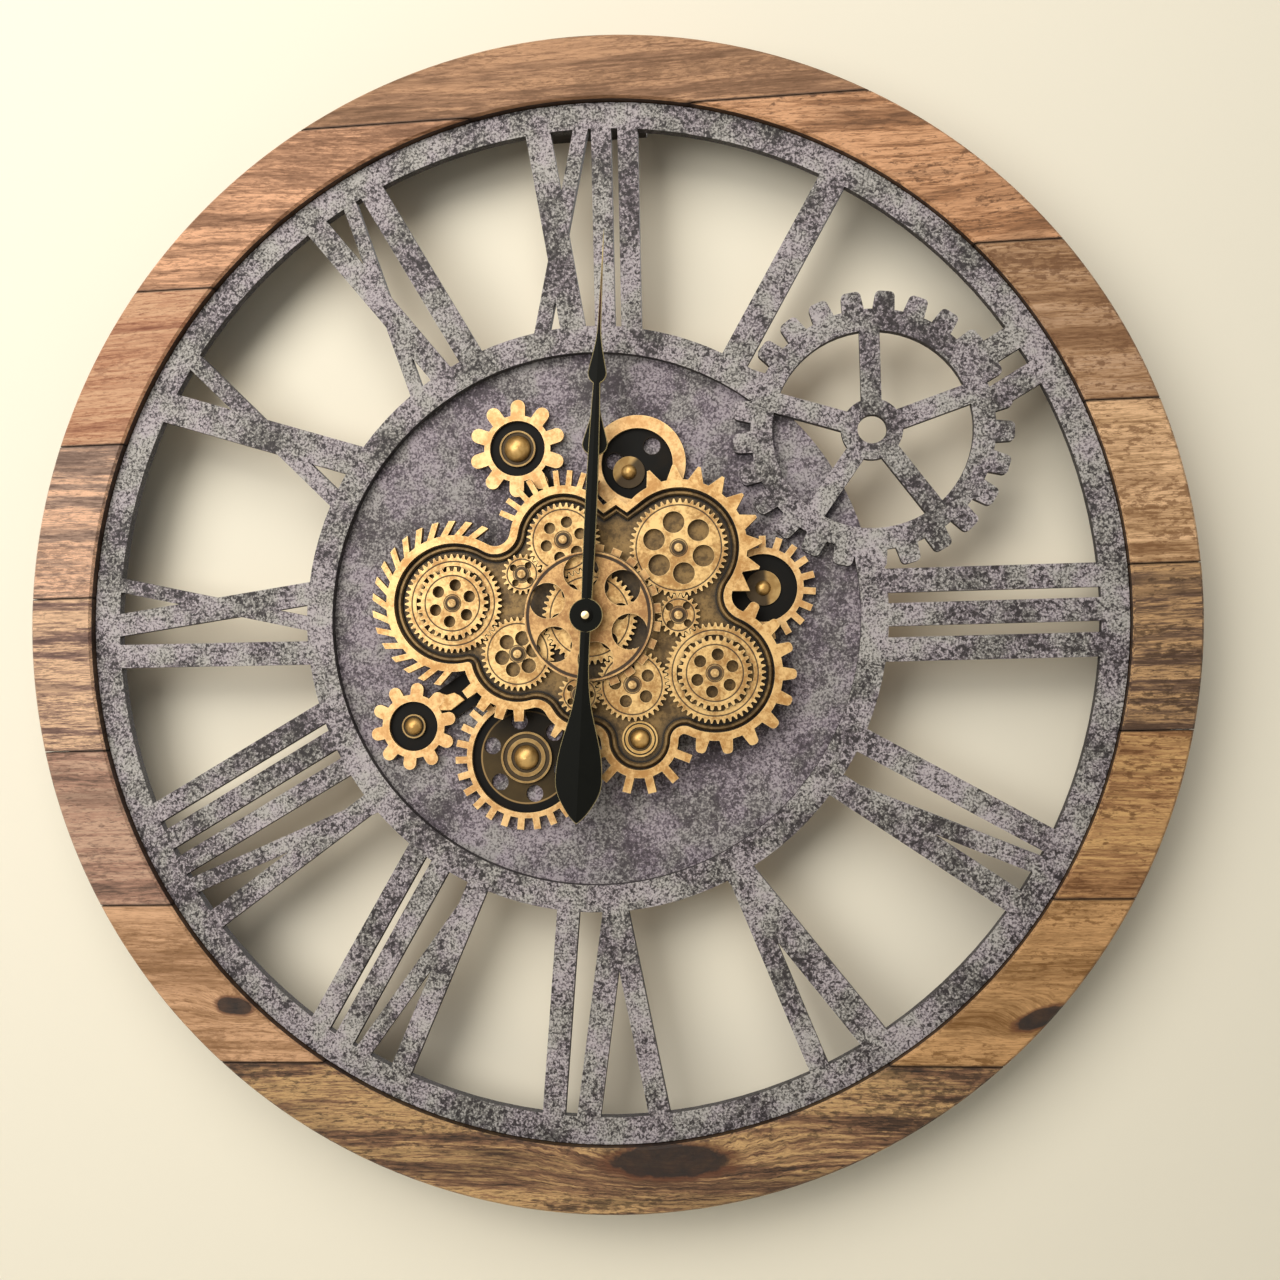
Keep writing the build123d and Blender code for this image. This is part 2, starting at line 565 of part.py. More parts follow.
def gear_base():
    """Black base: a thin plate out under every rim gear and a step up to the golden floor."""
    pads = [Pos(*rim_spot(name)) * Circle((inner + 1.8) * MODULE) for name, (_, inner) in RIM_RING.items()]
    face = lobed(BAND) + pads
    for name, gear_name in (("top_left", "top"), ("bottom_left", "lower_left")):
        spot, hub = rim_spot(name), PLACE[gear_name]
        turn = degrees(atan2(hub[1] - spot[1], hub[0] - spot[0]))
        span = hypot(hub[0] - spot[0], hub[1] - spot[1])
        face += Pos(*spot) * Rot(0, 0, turn) * Pos(span / 2, 0) * Rectangle(span, 17 * MODULE)
    for name, circle, turns in (("bottom", 19.0, range(41, 401, 60)), ("top", 12.0, (50, 170))):
        for turn in turns:
            face -= Pos(*polar(rim_spot(name), circle * MODULE, turn)) * Circle(4.4 * MODULE)
    base = slab(face, DISC_FRONT, BASE_TOP) + slab(lobed(BAND), BASE_TOP, RISER_TOP)
    base -= disc(THREAD_RADIUS + EASE, 0, CLUSTER_TOP)
    return base - disc(DRIVE_SHAFT_R + 0.8, 0, CLUSTER_TOP, PLACE["lower_right"])


def dome(radius, washer, rings, seat, centre):
    """Domed bolt head on a washer, with the inner and outer radii of the washer's raised rings."""
    rise = 0.72 * radius
    ball = (radius ** 2 + rise ** 2) / (2 * rise)
    top = seat + 1.0
    cap = Sphere(ball) & Pos(0, 0, ball - rise / 2) * Box(3 * ball, 3 * ball, rise)
    bolt = slab(Circle(washer), seat, top) + Pos(0, 0, top + rise - ball) * cap
    for inner, outer in rings:
        bolt += slab(Circle(outer) - Circle(inner), top, top + 0.8)
    return Pos(*centre, 0) * bolt


def dome_bolts():
    top = rim_spot("top")
    sizes = [(7.1, 9.4, ((8.6, 9.4),), BASE_TOP, rim_spot("top_left")),
             (4.0, 8.2, (), BASE_TOP, (top[0] - 4.4 * MODULE, top[1] - 4.0 * MODULE)),
             (3.9, 8.9, (), BASE_TOP, rim_spot("right")),
             (4.8, 6.2, ((5.5, 6.2),), BASE_TOP, rim_spot("bottom_left")),
             (6.6, 13.2, ((7.9, 9.9), (12.2, 13.2)), BASE_TOP, rim_spot("bottom")),
             (5.1, 9.0, ((6.1, 7.4), (8.2, 9.0)), FLOOR, BOLT_PLACE)]
    bolts = []
    for radius, washer, rings, seat, spot in sizes:
        rings = [(inner * MODULE, outer * MODULE) for inner, outer in rings]
        bolts.append(dome(radius * MODULE, washer * MODULE, rings, seat, spot))
    return bolts


# Hands and their shafts

ARBOR_R = 0.4 * THREAD_RADIUS
HOUR_TUBE_R = 0.65 * THREAD_RADIUS
MINUTE_HUB_R = 8.4
HOUR_HUB_R = 7.0
CAP_BORE = 1.6              # depth of the cap over the arbor's end


def roofed(face, height):
    """Hand blank with a low ridge down its middle, like a two-sided roof."""
    reach, half = 2 * MINUTE_REACH, 14.0
    eave = height - 0.08 * half
    gable = make_face(Polyline((-half, 0, 0), (half, 0, 0), (half, 0, eave), (0, 0, height),
                               (-half, 0, eave), close=True))
    roof = Pos(0, reach / 2, 0) * extrude(gable, reach, dir=(0, -1, 0))
    return slab(face, 0, height) & roof


def mirrored(edges):
    return edges + [mirror(e, about=Plane.YZ) for e in edges]


def minute_blank():
    """Spear head on a slim leaf shaft, round hub and a long spade tail."""
    tip, tail = MINUTE_REACH, 0.534 * MINUTE_REACH
    head, neck = 0.629 * tip, 0.6 * tip
    right = [
        Line((0, tip), (0.8, 0.75 * tip)),
        Spline((0.8, 0.75 * tip), (4.6, head), tangents=[(0.02, -1), (0.2, -1)]),
        ThreePointArc((4.6, head), (3.6, head - 4), (1.7, neck)),
        Spline((1.7, neck), (3.0, 0.3 * tip), (2.6, 6)),
        Line((2.6, 6), (2.5, -20)),
        Spline((2.5, -20), (5.2, -0.46 * tail), (11.7, -0.79 * tail), tangents=[(0, -1), (0, -1)]),
        Spline((11.7, -0.79 * tail), (7.2, -0.92 * tail), (0, -tail), tangents=[(0, -1), (-1, -0.7)]),
    ]
    return make_face(mirrored(right))


def hour_blank():
    tip = HOUR_REACH
    head, neck = 0.708 * tip, 0.663 * tip
    right = [
        Line((0, tip), (1.0, 0.9 * tip)),
        Spline((1.0, 0.9 * tip), (6.4, head), tangents=[(0.06, -1), (0.2, -1)]),
        ThreePointArc((6.4, head), (4.8, head - 4), (2.0, neck)),
        Line((2.0, neck), (2.4, 0)),
        Line((2.4, 0), (0, 0)),
    ]
    return make_face(mirrored(right))


def minute_hand():
    hand = roofed(minute_blank(), HAND_THICK) + disc(MINUTE_HUB_R, 0, HAND_THICK)
    hand -= disc(ARBOR_R, -1, HAND_THICK + 1)
    return Pos(0, 0, MINUTE_Z) * Rot(0, 0, -HAND_SET) * hand


def hour_hand():
    hand = roofed(hour_blank(), HAND_THICK) + disc(HOUR_HUB_R, 0, HAND_THICK)
    hand -= disc(HOUR_TUBE_R, -1, HAND_THICK + 1)
    return Pos(0, 0, HOUR_Z) * Rot(0, 0, -HAND_SET) * hand


def hand_cap():
    seat = MINUTE_Z + HAND_THICK
    rim, knob = ARBOR_R + 1.8, ARBOR_R + 0.5
    profile = [(ARBOR_R, seat), (rim, seat), (rim, seat + 0.6), (knob, seat + 1.4), (knob, seat + 2.6),
               (0, seat + 3.2), (0, seat + CAP_BORE), (ARBOR_R, seat + CAP_BORE)]
    return turned(profile)


def hour_tube():
    wall = Circle(HOUR_TUBE_R) - Circle(ARBOR_R + RUN)
    return slab(wall, DISC_BACK - TUBE_SOCKET, HOUR_Z + HAND_THICK + 0.5)


def minute_arbor():
    return disc(ARBOR_R, KNOB_Z, MINUTE_Z + HAND_THICK + CAP_BORE)


# Quartz movement behind the disc

MOVEMENT_SIZE = CELL_LENGTH + 6.0
KNOB_R = 8.0
KNOB_Z = CASE_BACK + 1.0
KNOB_THICK = 4.0
TUBE_SOCKET = 3.0           # depth of the hour tube's seat in the case
CELL_Z = CASE_BACK + CELL_R + 0.5


def cell_at(x, y):
    """One AA cell lying along x, with its button at the right end."""
    body = Pos(x, y, CELL_Z) * Rot(0, 90, 0) * Cylinder(CELL_R, CELL_LENGTH - 1.2)
    button = Pos(x + CELL_LENGTH / 2 - 0.3, y, CELL_Z) * Rot(0, 90, 0) * Cylinder(2.7, 1.4)
    return body + button


def cell_bay(x, y):
    """Trough for one cell, open at the back."""
    half = CELL_R + EASE
    bed = Pos(x, y, CELL_Z) * Rot(0, 90, 0) * Cylinder(half, CELL_LENGTH + 1.6)
    mouth = Pos(x, y, CELL_Z / 2) * Box(CELL_LENGTH + 1.6, 2 * half, CELL_Z)
    return bed + mouth


MOVEMENT_CELL_Y = -KNOB_R - CELL_R - 4.0


def movement_case():
    """Square case with the cell trough, the setting knob's recess and the threaded tube."""
    case = slab(RectangleRounded(MOVEMENT_SIZE, MOVEMENT_SIZE, 5), CASE_BACK, DISC_BACK)
    case = chamfer(case.edges().group_by(Axis.Z)[0], 1)
    case += disc(THREAD_RADIUS, DISC_BACK, THREAD_END)
    case -= cell_bay(0, MOVEMENT_CELL_Y)
    case -= disc(KNOB_R + 1, 0, KNOB_Z + KNOB_THICK + EASE)
    case -= disc(ARBOR_R + RUN, 0, DISC_BACK)
    return case - disc(HOUR_TUBE_R + RUN, DISC_BACK - TUBE_SOCKET - EASE, CLUSTER_TOP)


def setting_knob():
    grip = [Rot(0, 0, 30 * k) * Pos(KNOB_R, 0) * Circle(1.0) for k in range(12)]
    return slab(Circle(KNOB_R) - grip - Circle(ARBOR_R), KNOB_Z, KNOB_Z + KNOB_THICK)


def center_bush():
    return slab(Circle(BUSH_R) - Circle(THREAD_RADIUS + RUN), FLOOR, NUT_Z)


def shaft_nut():
    hexagon = RegularPolygon(1.6 * THREAD_RADIUS, 6)
    return slab(hexagon - Circle(THREAD_RADIUS + RUN), NUT_Z, NUT_Z + NUT_THICK)


# Gear drive behind the disc: motor, two cells and a switch in one case

CELL_PITCH = 2 * CELL_R + 1.6
DRIVE_WIDTH = CELL_LENGTH + 16.0
DRIVE_HEIGHT = 2 * CELL_PITCH + 34.4
DRIVE_GAP = 5.83            # between the two cases
DRIVE_CENTRE = ((MOVEMENT_SIZE + DRIVE_WIDTH) / 2 + DRIVE_GAP, PLACE["lower_right"][1] - 20)
EAR_REACH = DRIVE_WIDTH / 2 + 4
EAR_THICK = 3.0
DRIVE_SCREW_SPOTS = [(DRIVE_CENTRE[0] + side * EAR_REACH, DRIVE_CENTRE[1] + 8) for side in (-1, 1)]
DRIVE_SCREW_END = DISC_FRONT - 1.0
SHAFT_SOCKET = 8.5          # depth of the drive shaft's seat in the case
SWITCH_LENGTH = 9.0
SWITCH_TRAVEL = 4.0
SWITCH_PLACE = (DRIVE_CENTRE[0] - 18, DRIVE_CENTRE[1] + DRIVE_HEIGHT / 2 - 11)


def drive_cell_rows():
    low = DRIVE_CENTRE[1] - DRIVE_HEIGHT / 2 + CELL_R + 3
    return [low, low + CELL_PITCH]


def drive_case():
    """Case of the gear drive: cell troughs and switch slot at the back, two screw ears."""
    outline = Pos(*DRIVE_CENTRE) * RectangleRounded(DRIVE_WIDTH, DRIVE_HEIGHT, 4)
    case = chamfer(slab(outline, CASE_BACK, DISC_BACK).edges().group_by(Axis.Z)[0], 1)
    for spot in DRIVE_SCREW_SPOTS:
        inward = DRIVE_CENTRE[0] - spot[0]
        ear = Pos(*spot) * (Circle(5) + Pos(inward / 6, 0) * Rectangle(abs(inward) / 3, 10))
        case += slab(ear, DISC_BACK - EAR_THICK, DISC_BACK) - disc(SCREW_R, 0, DISC_BACK, spot)
    for y in drive_cell_rows():
        case -= cell_bay(DRIVE_CENTRE[0], y)
    slot = Box(SWITCH_LENGTH + SWITCH_TRAVEL + 2, 5.4, 6)
    case -= Pos(*SWITCH_PLACE, CASE_BACK) * slot
    return case - disc(DRIVE_SHAFT_R + RUN, DISC_BACK - SHAFT_SOCKET - EASE, DISC_BACK, PLACE["lower_right"])


def drive_screws():
    return [pan_screw(DISC_BACK - EAR_THICK, DRIVE_SCREW_END, spot) for spot in DRIVE_SCREW_SPOTS]


def drive_shaft():
    """Motor shaft with the domed retaining cap of the lower right gear."""
    place = PLACE["lower_right"]
    seat = GEAR_TOP + STEP_RISE + HUB_RISE
    shaft = disc(DRIVE_SHAFT_R, DISC_BACK - SHAFT_SOCKET, seat, place)
    return shaft + turned([(0, seat)] + pin_head(seat), place)


def switch_slider():
    """Ribbed thumb piece of the on-off switch, at the off end of its slot."""
    x = SWITCH_PLACE[0] - SWITCH_TRAVEL / 2
    body = Pos(x, SWITCH_PLACE[1], CASE_BACK + 1.5) * Box(SWITCH_LENGTH, 4.8, 2.6)
    for k in (-1, 0, 1):
        body -= Pos(x + 2.4 * k, SWITCH_PLACE[1], CASE_BACK + 0.2) * Box(1, 6, 0.8)
    return body


def put(shapes, name):
    """Turn a piece to the part's frame and write it as one STEP file."""
    if not isinstance(shapes, (list, tuple)):
        shapes = [shapes]
    solids = [s for shape in shapes for s in shape.solids()]
    placed = [Pos(0, 0, -HANGER_Y) * (Plane.XZ * s) for s in solids]
    export_step(placed[0] if len(placed) == 1 else Compound(children=placed), f"parts/{name}.step")


os.makedirs("parts", exist_ok=True)

put(backing_ring(), "backing_ring")
for plank_name, plank in planks().items():
    put(plank, plank_name)
put(hanger_plate(), "hanger_plate")
put(hanger_screws(), "hanger_screws")
put(dial_screws(), "dial_screws")
put(disc_screws(), "disc_screws")
put(dial_plate(), "dial_plate")
put(center_disc(), "center_disc")
put(gear_base(), "gear_base")
put(gear_field(), "gear_field")
put(gear_frame(), "gear_frame")
for rim_name, rim_gear in rim_gears().items():
    put(rim_gear, f"rim_gear_{rim_name}")
put(dome_bolts(), "dome_bolts")
put(axle_pins(), "axle_pins")
for gear_name, moving in moving_gears().items():
    put(moving, f"{gear_name}_gear")
put(center_gear(), "center_gear")
put(center_wheel(), "center_wheel")
put(center_bush(), "center_bush")
put(shaft_nut(), "shaft_nut")
put(hour_tube(), "hour_tube")
put(minute_arbor(), "minute_arbor")
put(hour_hand(), "hour_hand")
put(minute_hand(), "minute_hand")
put(hand_cap(), "hand_cap")
put(movement_case(), "movement_case")
put(cell_at(0, MOVEMENT_CELL_Y), "movement_cell")
put(setting_knob(), "setting_knob")
put(drive_case(), "drive_case")
put(drive_screws(), "drive_screws")
put(drive_shaft(), "drive_shaft")
put([cell_at(DRIVE_CENTRE[0], y) for y in drive_cell_rows()], "drive_cells")
put(switch_slider(), "switch_slider")
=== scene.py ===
# %% [markdown]
# A wooden gear clock in Blender.
# The clock hangs on a wall: a rim of stained boards, a cut-out dial in a stone finish, a cluster of antique
# gold gears and a pair of black spear hands. Every solid comes from the CAD model as a fixed frame, so this
# lesson is about finishes: how wood, stone, old gold and lacquer are made from nodes alone.
# The frame is loaded first.

# %% Load the frame
from math import atan, cos, degrees, radians, sin

import bpy
from mathutils import Matrix, Vector


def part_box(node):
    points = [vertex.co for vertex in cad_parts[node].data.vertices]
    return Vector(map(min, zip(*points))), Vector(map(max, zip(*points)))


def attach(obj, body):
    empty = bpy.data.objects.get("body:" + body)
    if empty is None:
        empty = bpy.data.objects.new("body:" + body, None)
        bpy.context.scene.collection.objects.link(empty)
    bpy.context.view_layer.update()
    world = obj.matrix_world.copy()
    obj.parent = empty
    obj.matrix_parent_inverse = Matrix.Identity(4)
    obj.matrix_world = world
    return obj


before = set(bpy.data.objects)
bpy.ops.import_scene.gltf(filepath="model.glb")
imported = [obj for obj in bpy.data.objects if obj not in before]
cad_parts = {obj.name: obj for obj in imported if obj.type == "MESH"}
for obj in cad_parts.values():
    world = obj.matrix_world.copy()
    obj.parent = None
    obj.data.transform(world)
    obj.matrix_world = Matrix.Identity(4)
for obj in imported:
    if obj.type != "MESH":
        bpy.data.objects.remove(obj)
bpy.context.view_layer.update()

ARBOR_Z = -0.273            # height of the hand arbor in the row frame, whose origin is the keyhole

# %% [markdown]
# Shader maths as Python.
# A finish is a chain of nodes, and a long chain is hard to read when every link is typed by hand. One small
# class wraps a socket, so that 1 - mask or grain * 0.4 adds the Math node it stands for. Every other node
# comes from its node() method: the settings are set first, then the values or wires of its inputs.

# %% Wires
class Wire:
    """The output of a node, ready for arithmetic."""

    def __init__(self, tree, socket):
        self.tree, self.socket = tree, socket

    def node(self, kind, sockets, out=0, stops=None, **settings):
        """Adds a node of that kind and returns one of its outputs."""
        made = self.tree.nodes.new("ShaderNode" + kind)
        for name, value in settings.items():
            setattr(made, name, value)
        if stops:
            ramp = made.color_ramp
            while len(ramp.elements) < len(stops):
                ramp.elements.new(0.5)
            for element, (position, colour) in zip(ramp.elements, stops):
                element.position, element.color = position, colour
        plug(self.tree, made, sockets)
        return Wire(self.tree, made.outputs[out])

    def maths(self, operation, *values, **settings):
        return self.node("Math", dict(enumerate(values)), operation=operation, **settings)

    def __add__(self, other):
        return self.maths("ADD", self, other)

    def __sub__(self, other):
        return self.maths("SUBTRACT", self, other)

    def __rsub__(self, other):
        return self.maths("SUBTRACT", other, self)

    def __mul__(self, other):
        return self.maths("MULTIPLY", self, other)

    def __truediv__(self, other):
        return self.maths("DIVIDE", self, other)

    def __abs__(self):
        return self.maths("ABSOLUTE", self)

    __radd__, __rmul__ = __add__, __mul__

    def larger(self, other):
        return self.maths("MAXIMUM", self, other)

    def step(self, low, high):
        """A soft step: 0 below low, 1 above high; low may be the larger to turn it round."""
        if low > high:
            return 1 - self.step(high, low)
        return self.node("MapRange", {"Value": self, "From Min": low, "From Max": high},
                         interpolation_type="SMOOTHSTEP")

    def split(self):
        made = self.tree.nodes.new("ShaderNodeSeparateXYZ")
        plug(self.tree, made, {0: self})
        return [Wire(self.tree, socket) for socket in made.outputs]

    def join(self, x, y, z):
        return self.node("CombineXYZ", {0: x, 1: y, 2: z})

    def noise(self, scale, detail=3.0, roughness=0.55):
        return self.node("TexNoise", {"Vector": self, "Scale": scale, "Detail": detail, "Roughness": roughness})

    def mix(self, first, second):
        """Between two colours by this value."""
        return self.node("Mix", {0: self, 6: first, 7: second}, out=2, data_type="RGBA")


def plug(tree, node, sockets):
    """Sets or links the inputs of a node by name or number."""
    for name, value in sockets.items():
        if isinstance(value, Wire):
            tree.links.new(value.socket, node.inputs[name])
        else:
            node.inputs[name].default_value = value


print("wires ready")

# %% [markdown]
# Colours and finishes.
# Colours are written as six digits, as on a paint card, and turned to the linear values that a shader needs.
# A finish starts as a Principled shader and the coordinates of the object it is on. All pieces sit at the
# origin with their place in the mesh, so those coordinates are metres in the clock's own frame.

# %% Finish helpers
def paint(code):
    """Linear colour of a six-digit screen colour."""
    screen = [int(code[k:k + 2], 16) / 255 for k in (0, 2, 4)]
    return (*[((c + 0.055) / 1.055) ** 2.4 if c > 0.04045 else c / 12.92 for c in screen], 1.0)


def new_finish(name):
    """A new material, its shader and a wire with the object's coordinates."""
    material = bpy.data.materials.new(name)
    material.use_nodes = True
    tree = material.node_tree
    where = tree.nodes.new("ShaderNodeTexCoord").outputs["Object"]
    return material, tree.nodes["Principled BSDF"], Wire(tree, where)


def relief(height, strength, depth):
    """Bump for the Normal input, with its depth in metres."""
    return height.node("Bump", {"Height": height, "Strength": strength, "Distance": depth})


def depth_part(at):
    """How far a face looks to the back: -1 at the front, 1 at the back."""
    normal = Wire(at.tree, at.tree.nodes.new("ShaderNodeNewGeometry").outputs["Normal"])
    return normal.split()[1]


def side_mask(at):
    """1 on faces that look sideways, 0 on those that look to the front or back."""
    return abs(depth_part(at)).step(0.75, 0.45)


def closeness(at, distance, inside):
    """How close the piece's own surfaces are: in its corners, or inside it along its sharp edges."""
    open_share = at.node("AmbientOcclusion", {"Distance": distance}, out=1,
                         samples=6, inside=inside, only_local=True)
    return 1 - open_share


def around(at, x0, z0):
    """Distance from an axis that runs through the clock from front to back."""
    x, y, z = at.split()
    spoke = at.join(x - x0, 0.0, z - z0)
    return spoke.node("VectorMath", {0: spoke}, out=1, operation="LENGTH")


def dress(material, *names):
    """Gives CAD nodes their finish."""
    for name in names:
        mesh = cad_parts[name].data
        mesh.materials.clear()
        mesh.materials.append(material)
    print(material.name, "on", len(names), "nodes")


print("helpers ready, mid grey is", round(paint("808080")[0], 3), "in linear light")

# %% [markdown]
# Stained boards.
# The rim is sawn from rows of pine boards with a walnut and an oak stain brushed into them. Each board has
# its own colour, broad bands along the grain, shorter lens-shaped ones in them, soft fibres and fine pores, darker
# and lighter patches, and rough places where the stain stayed in short dark specks.
# A picture texture would be quick, but it has to be laid on each board by hand. Noise that is stretched along
# the board gives the same bands at any size, and a seed puts every board in another part of the tree.
# A knot pushes the bands apart: its nearness is added to the height that the noise reads.

# %% Board finish
RIM_INNER = 0.2669          # radius of the opening in the rim
WALL_EDGE = (0.0015, 0.0005)  # the inner wall's dark stain and painted shade end between these distances from the opening
JOINT_LINE = 0.0009         # width of the dark line along a joint


def knot_distance(at, knot_x, knot_z, half_long, half_tall, tilt):
    """Distance from a knot's middle, 1 on its oval outline."""
    x, y, z = at.split()
    along = (x - knot_x) * cos(radians(tilt)) + (z - knot_z) * sin(radians(tilt))
    across = (z - knot_z) * cos(radians(tilt)) - (x - knot_x) * sin(radians(tilt))
    oval = at.join(along / half_long, 0.0, across / half_tall)
    return oval.node("VectorMath", {0: oval}, out=1, operation="LENGTH")


def stained_board(name, seed, dark, middle, light, wear, knots=()):
    material, shader, at = new_finish("stain_" + name)
    low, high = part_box(name)
    x, y, z = at.split()
    sway = at.join(x * 4 + seed, y, z * 7).noise(1.0, 1.0)
    ragged = at.noise(160.0, 3.0) - 0.5
    height = z + (sway - 0.5) * 0.016
    eye, rim = None, None
    for knot in knots:
        far = knot_distance(at, *knot) + ragged * 0.5
        height = height + far.step(3.2, 0.0) * (1.6 * knot[3])
        core, bark = far.step(1.08, 0.92), far.step(1.4, 1.05)
        eye = core if eye is None else eye.larger(core)
        rim = bark if rim is None else rim.larger(bark)
    bands = at.join(x * 3 + 3 * seed, y * 50, height * 75).noise(1.0, 3.0, 0.6)
    lenses = at.join(x * 9 + seed, y * 190, height * 210).noise(1.0, 4.0, 0.7)
    fibres = at.join(x * 60 + seed, y * 800, height * 800).noise(1.0, 4.0, 0.75)
    streaks = at.join(x * 6 - seed, y * 260, height * 300).noise(1.0, 3.0, 0.6)
    rough = at.join(x * 200 + seed, y * 520, height * 520).noise(1.0, 3.0, 0.65)
    crowd = at.join(x * 14, y * 14, height * 70 + seed).noise(1.0, 2.0)
    pores = at.join(x * 240 + seed, y * 1200, height * 1200).noise(1.0, 2.0).step(0.55, 0.68)
    patches = at.join(x * 11 + 2 * seed, y * 11, height * 52).noise(1.0, 3.0, 0.6)
    tone = bands * 0.45 + lenses * 0.23 + fibres * 0.32
    wood = tone.node("ValToRGB", {0: tone},
                     stops=[(0.39, paint(dark)), (0.48, paint(middle)), (0.55, paint(light)),
                            (0.58, paint(middle)), (0.64, paint(light))])
    wood = (streaks.step(0.56, 0.7) * 0.38).mix(wood, paint(dark))
    wood = (streaks.step(0.42, 0.3) * 0.25).mix(wood, paint(light))
    wood = (pores * 0.5).mix(wood, paint(dark))
    wood = (patches.step(0.52, 0.68) * 0.42).mix(wood, paint(dark))
    wood = (patches.step(0.46, 0.32) * 0.4).mix(wood, paint(light))
    specks = (rough + (crowd - 0.5) * 0.7).step(0.54, 0.68) * wear
    wood = specks.mix(wood, paint(dark))
    wood = (fibres.step(0.5, 0.28) * 0.45).mix(wood, paint(dark))
    if knots:
        wood = (rim * 0.75).mix(wood, paint("5d3724"))
        wood = (eye * (0.9 + ragged * 0.5)).mix(wood, paint("231c1a"))
    edge = (z - low.z).maths("MINIMUM", z - low.z, high.z - z)
    wood = (edge.step(JOINT_LINE, 0.0002) * 0.75).mix(wood, paint("2a1b12"))
    # The inner wall of the opening is stained dark and painted near black all round, as painted shade for the
    # shade it lies in at the left and top.
    inner_wall = side_mask(at) * (around(at, 0.0, ARBOR_Z) - RIM_INNER).step(*WALL_EDGE)
    wood = (inner_wall * 0.88).mix(wood, paint("1d120b"))
    plug(at.tree, shader, {"Base Color": wood, "Roughness": 0.66 - fibres * 0.2,
                           "Normal": relief(fibres * 0.5 - specks - pores * 0.4, 0.3, 0.0004)})
    shader.inputs["Specular IOR Level"].default_value = 0.3
    dress(material, name)


print("board finish ready, rim opening", 2 * RIM_INNER, "m across")

# %% [markdown]
# The fourteen boards.
# Left and right of the dial the rows were cut from different boards, so each has its own three stain colours:
# redder at the upper left, golden at the lower right. Three boards have knots.

# %% Boards
BOARDS = {                  # dark, middle and light stain, and how much the board is worn
    "plank_top": ("634329", "90694c", "c3946e", 0.42),
    "plank_left_1": ("643f25", "ab7d5d", "ecb289", 0.42),
    "plank_right_1": ("5a3a22", "a87650", "dfa87d", 0.77),
    "plank_left_2": ("754129", "b47f5d", "cfa27d", 0.42),
    "plank_right_2": ("6b472b", "a57e5a", "c7a180", 0.77),
    "plank_left_3": ("5c4338", "a0826f", "f5c09b", 0.42),
    "plank_right_3": ("785332", "b68f67", "f0c396", 0.77),
    "plank_left_4": ("47322c", "7e5f53", "eec29a", 0.42),
    "plank_right_4": ("3f2b1b", "624a3b", "cda272", 0.77),
    "plank_left_5": ("4c392f", "a67d68", "c7a288", 0.42),
    "plank_right_5": ("613d1e", "a4784f", "d3a76e", 0.77),
    "plank_left_6": ("775230", "af8560", "d8a982", 0.42),
    "plank_right_6": ("734e26", "a67e52", "cf9f6c", 0.77),
    "plank_bottom": ("201610", "7f5c44", "cea672", 0.62),
}
KNOTS = {                   # middle x and z, half length, half height, tilt in degrees
    "plank_left_6": [(-0.1906, -0.4693, 0.009, 0.0042, -8.0)],
    "plank_right_6": [(0.2165, -0.4745, 0.0125, 0.0042, 20.0)],
    "plank_bottom": [(0.034, -0.5455, 0.029, 0.0082, 2.0)],
}
for number, (board, (dark, middle, light, wear)) in enumerate(BOARDS.items()):
    stained_board(board, 5.3 * number, dark, middle, light, wear, KNOTS.get(board, ()))

# %% [markdown]
# Backing ring.
# Behind the boards a plywood ring holds them together. It was sprayed black so that it reads as a shadow gap,
# and only its sawn edge and its back show. Fine lines on its edge tell of the plies under the paint.

# %% Black plywood
def black_plywood():
    material, shader, at = new_finish("black_plywood")
    x, y, z = at.split()
    plies = at.join(x * 6, y * 900, z * 6).noise(1.0, 2.0)
    fibre = at.join(x * 30, y * 400, z * 500).noise(1.0, 3.0)
    worn = fibre.step(0.6, 0.75) * 0.35 + closeness(at, 0.001, True).step(0.15, 0.6) * 0.4
    colour = worn.mix(paint("24211f"), paint("5b4936"))
    plug(at.tree, shader, {"Base Color": colour, "Roughness": 0.7 - plies * 0.2,
                           "Normal": relief(fibre + plies, 0.25, 0.0003)})
    dress(material, "backing_ring")


black_plywood()

# %% [markdown]
# Stone finish.
# The dial plate and the disc behind the gears are board with a sprayed stone paint. Seen close it is a grey
# ground with fine grains, and on it lie dark flecks of about a millimetre and short crooked threads, thicker in
# some places than in others, with a violet or a greenish cast. Flecks are the low parts of one noise. Threads
# are the thin band where another noise crosses its middle, broken up by the grains.
# The sawn edges of the cut-outs are dark and the back is raw fibreboard, so the finish asks which way a face
# looks.

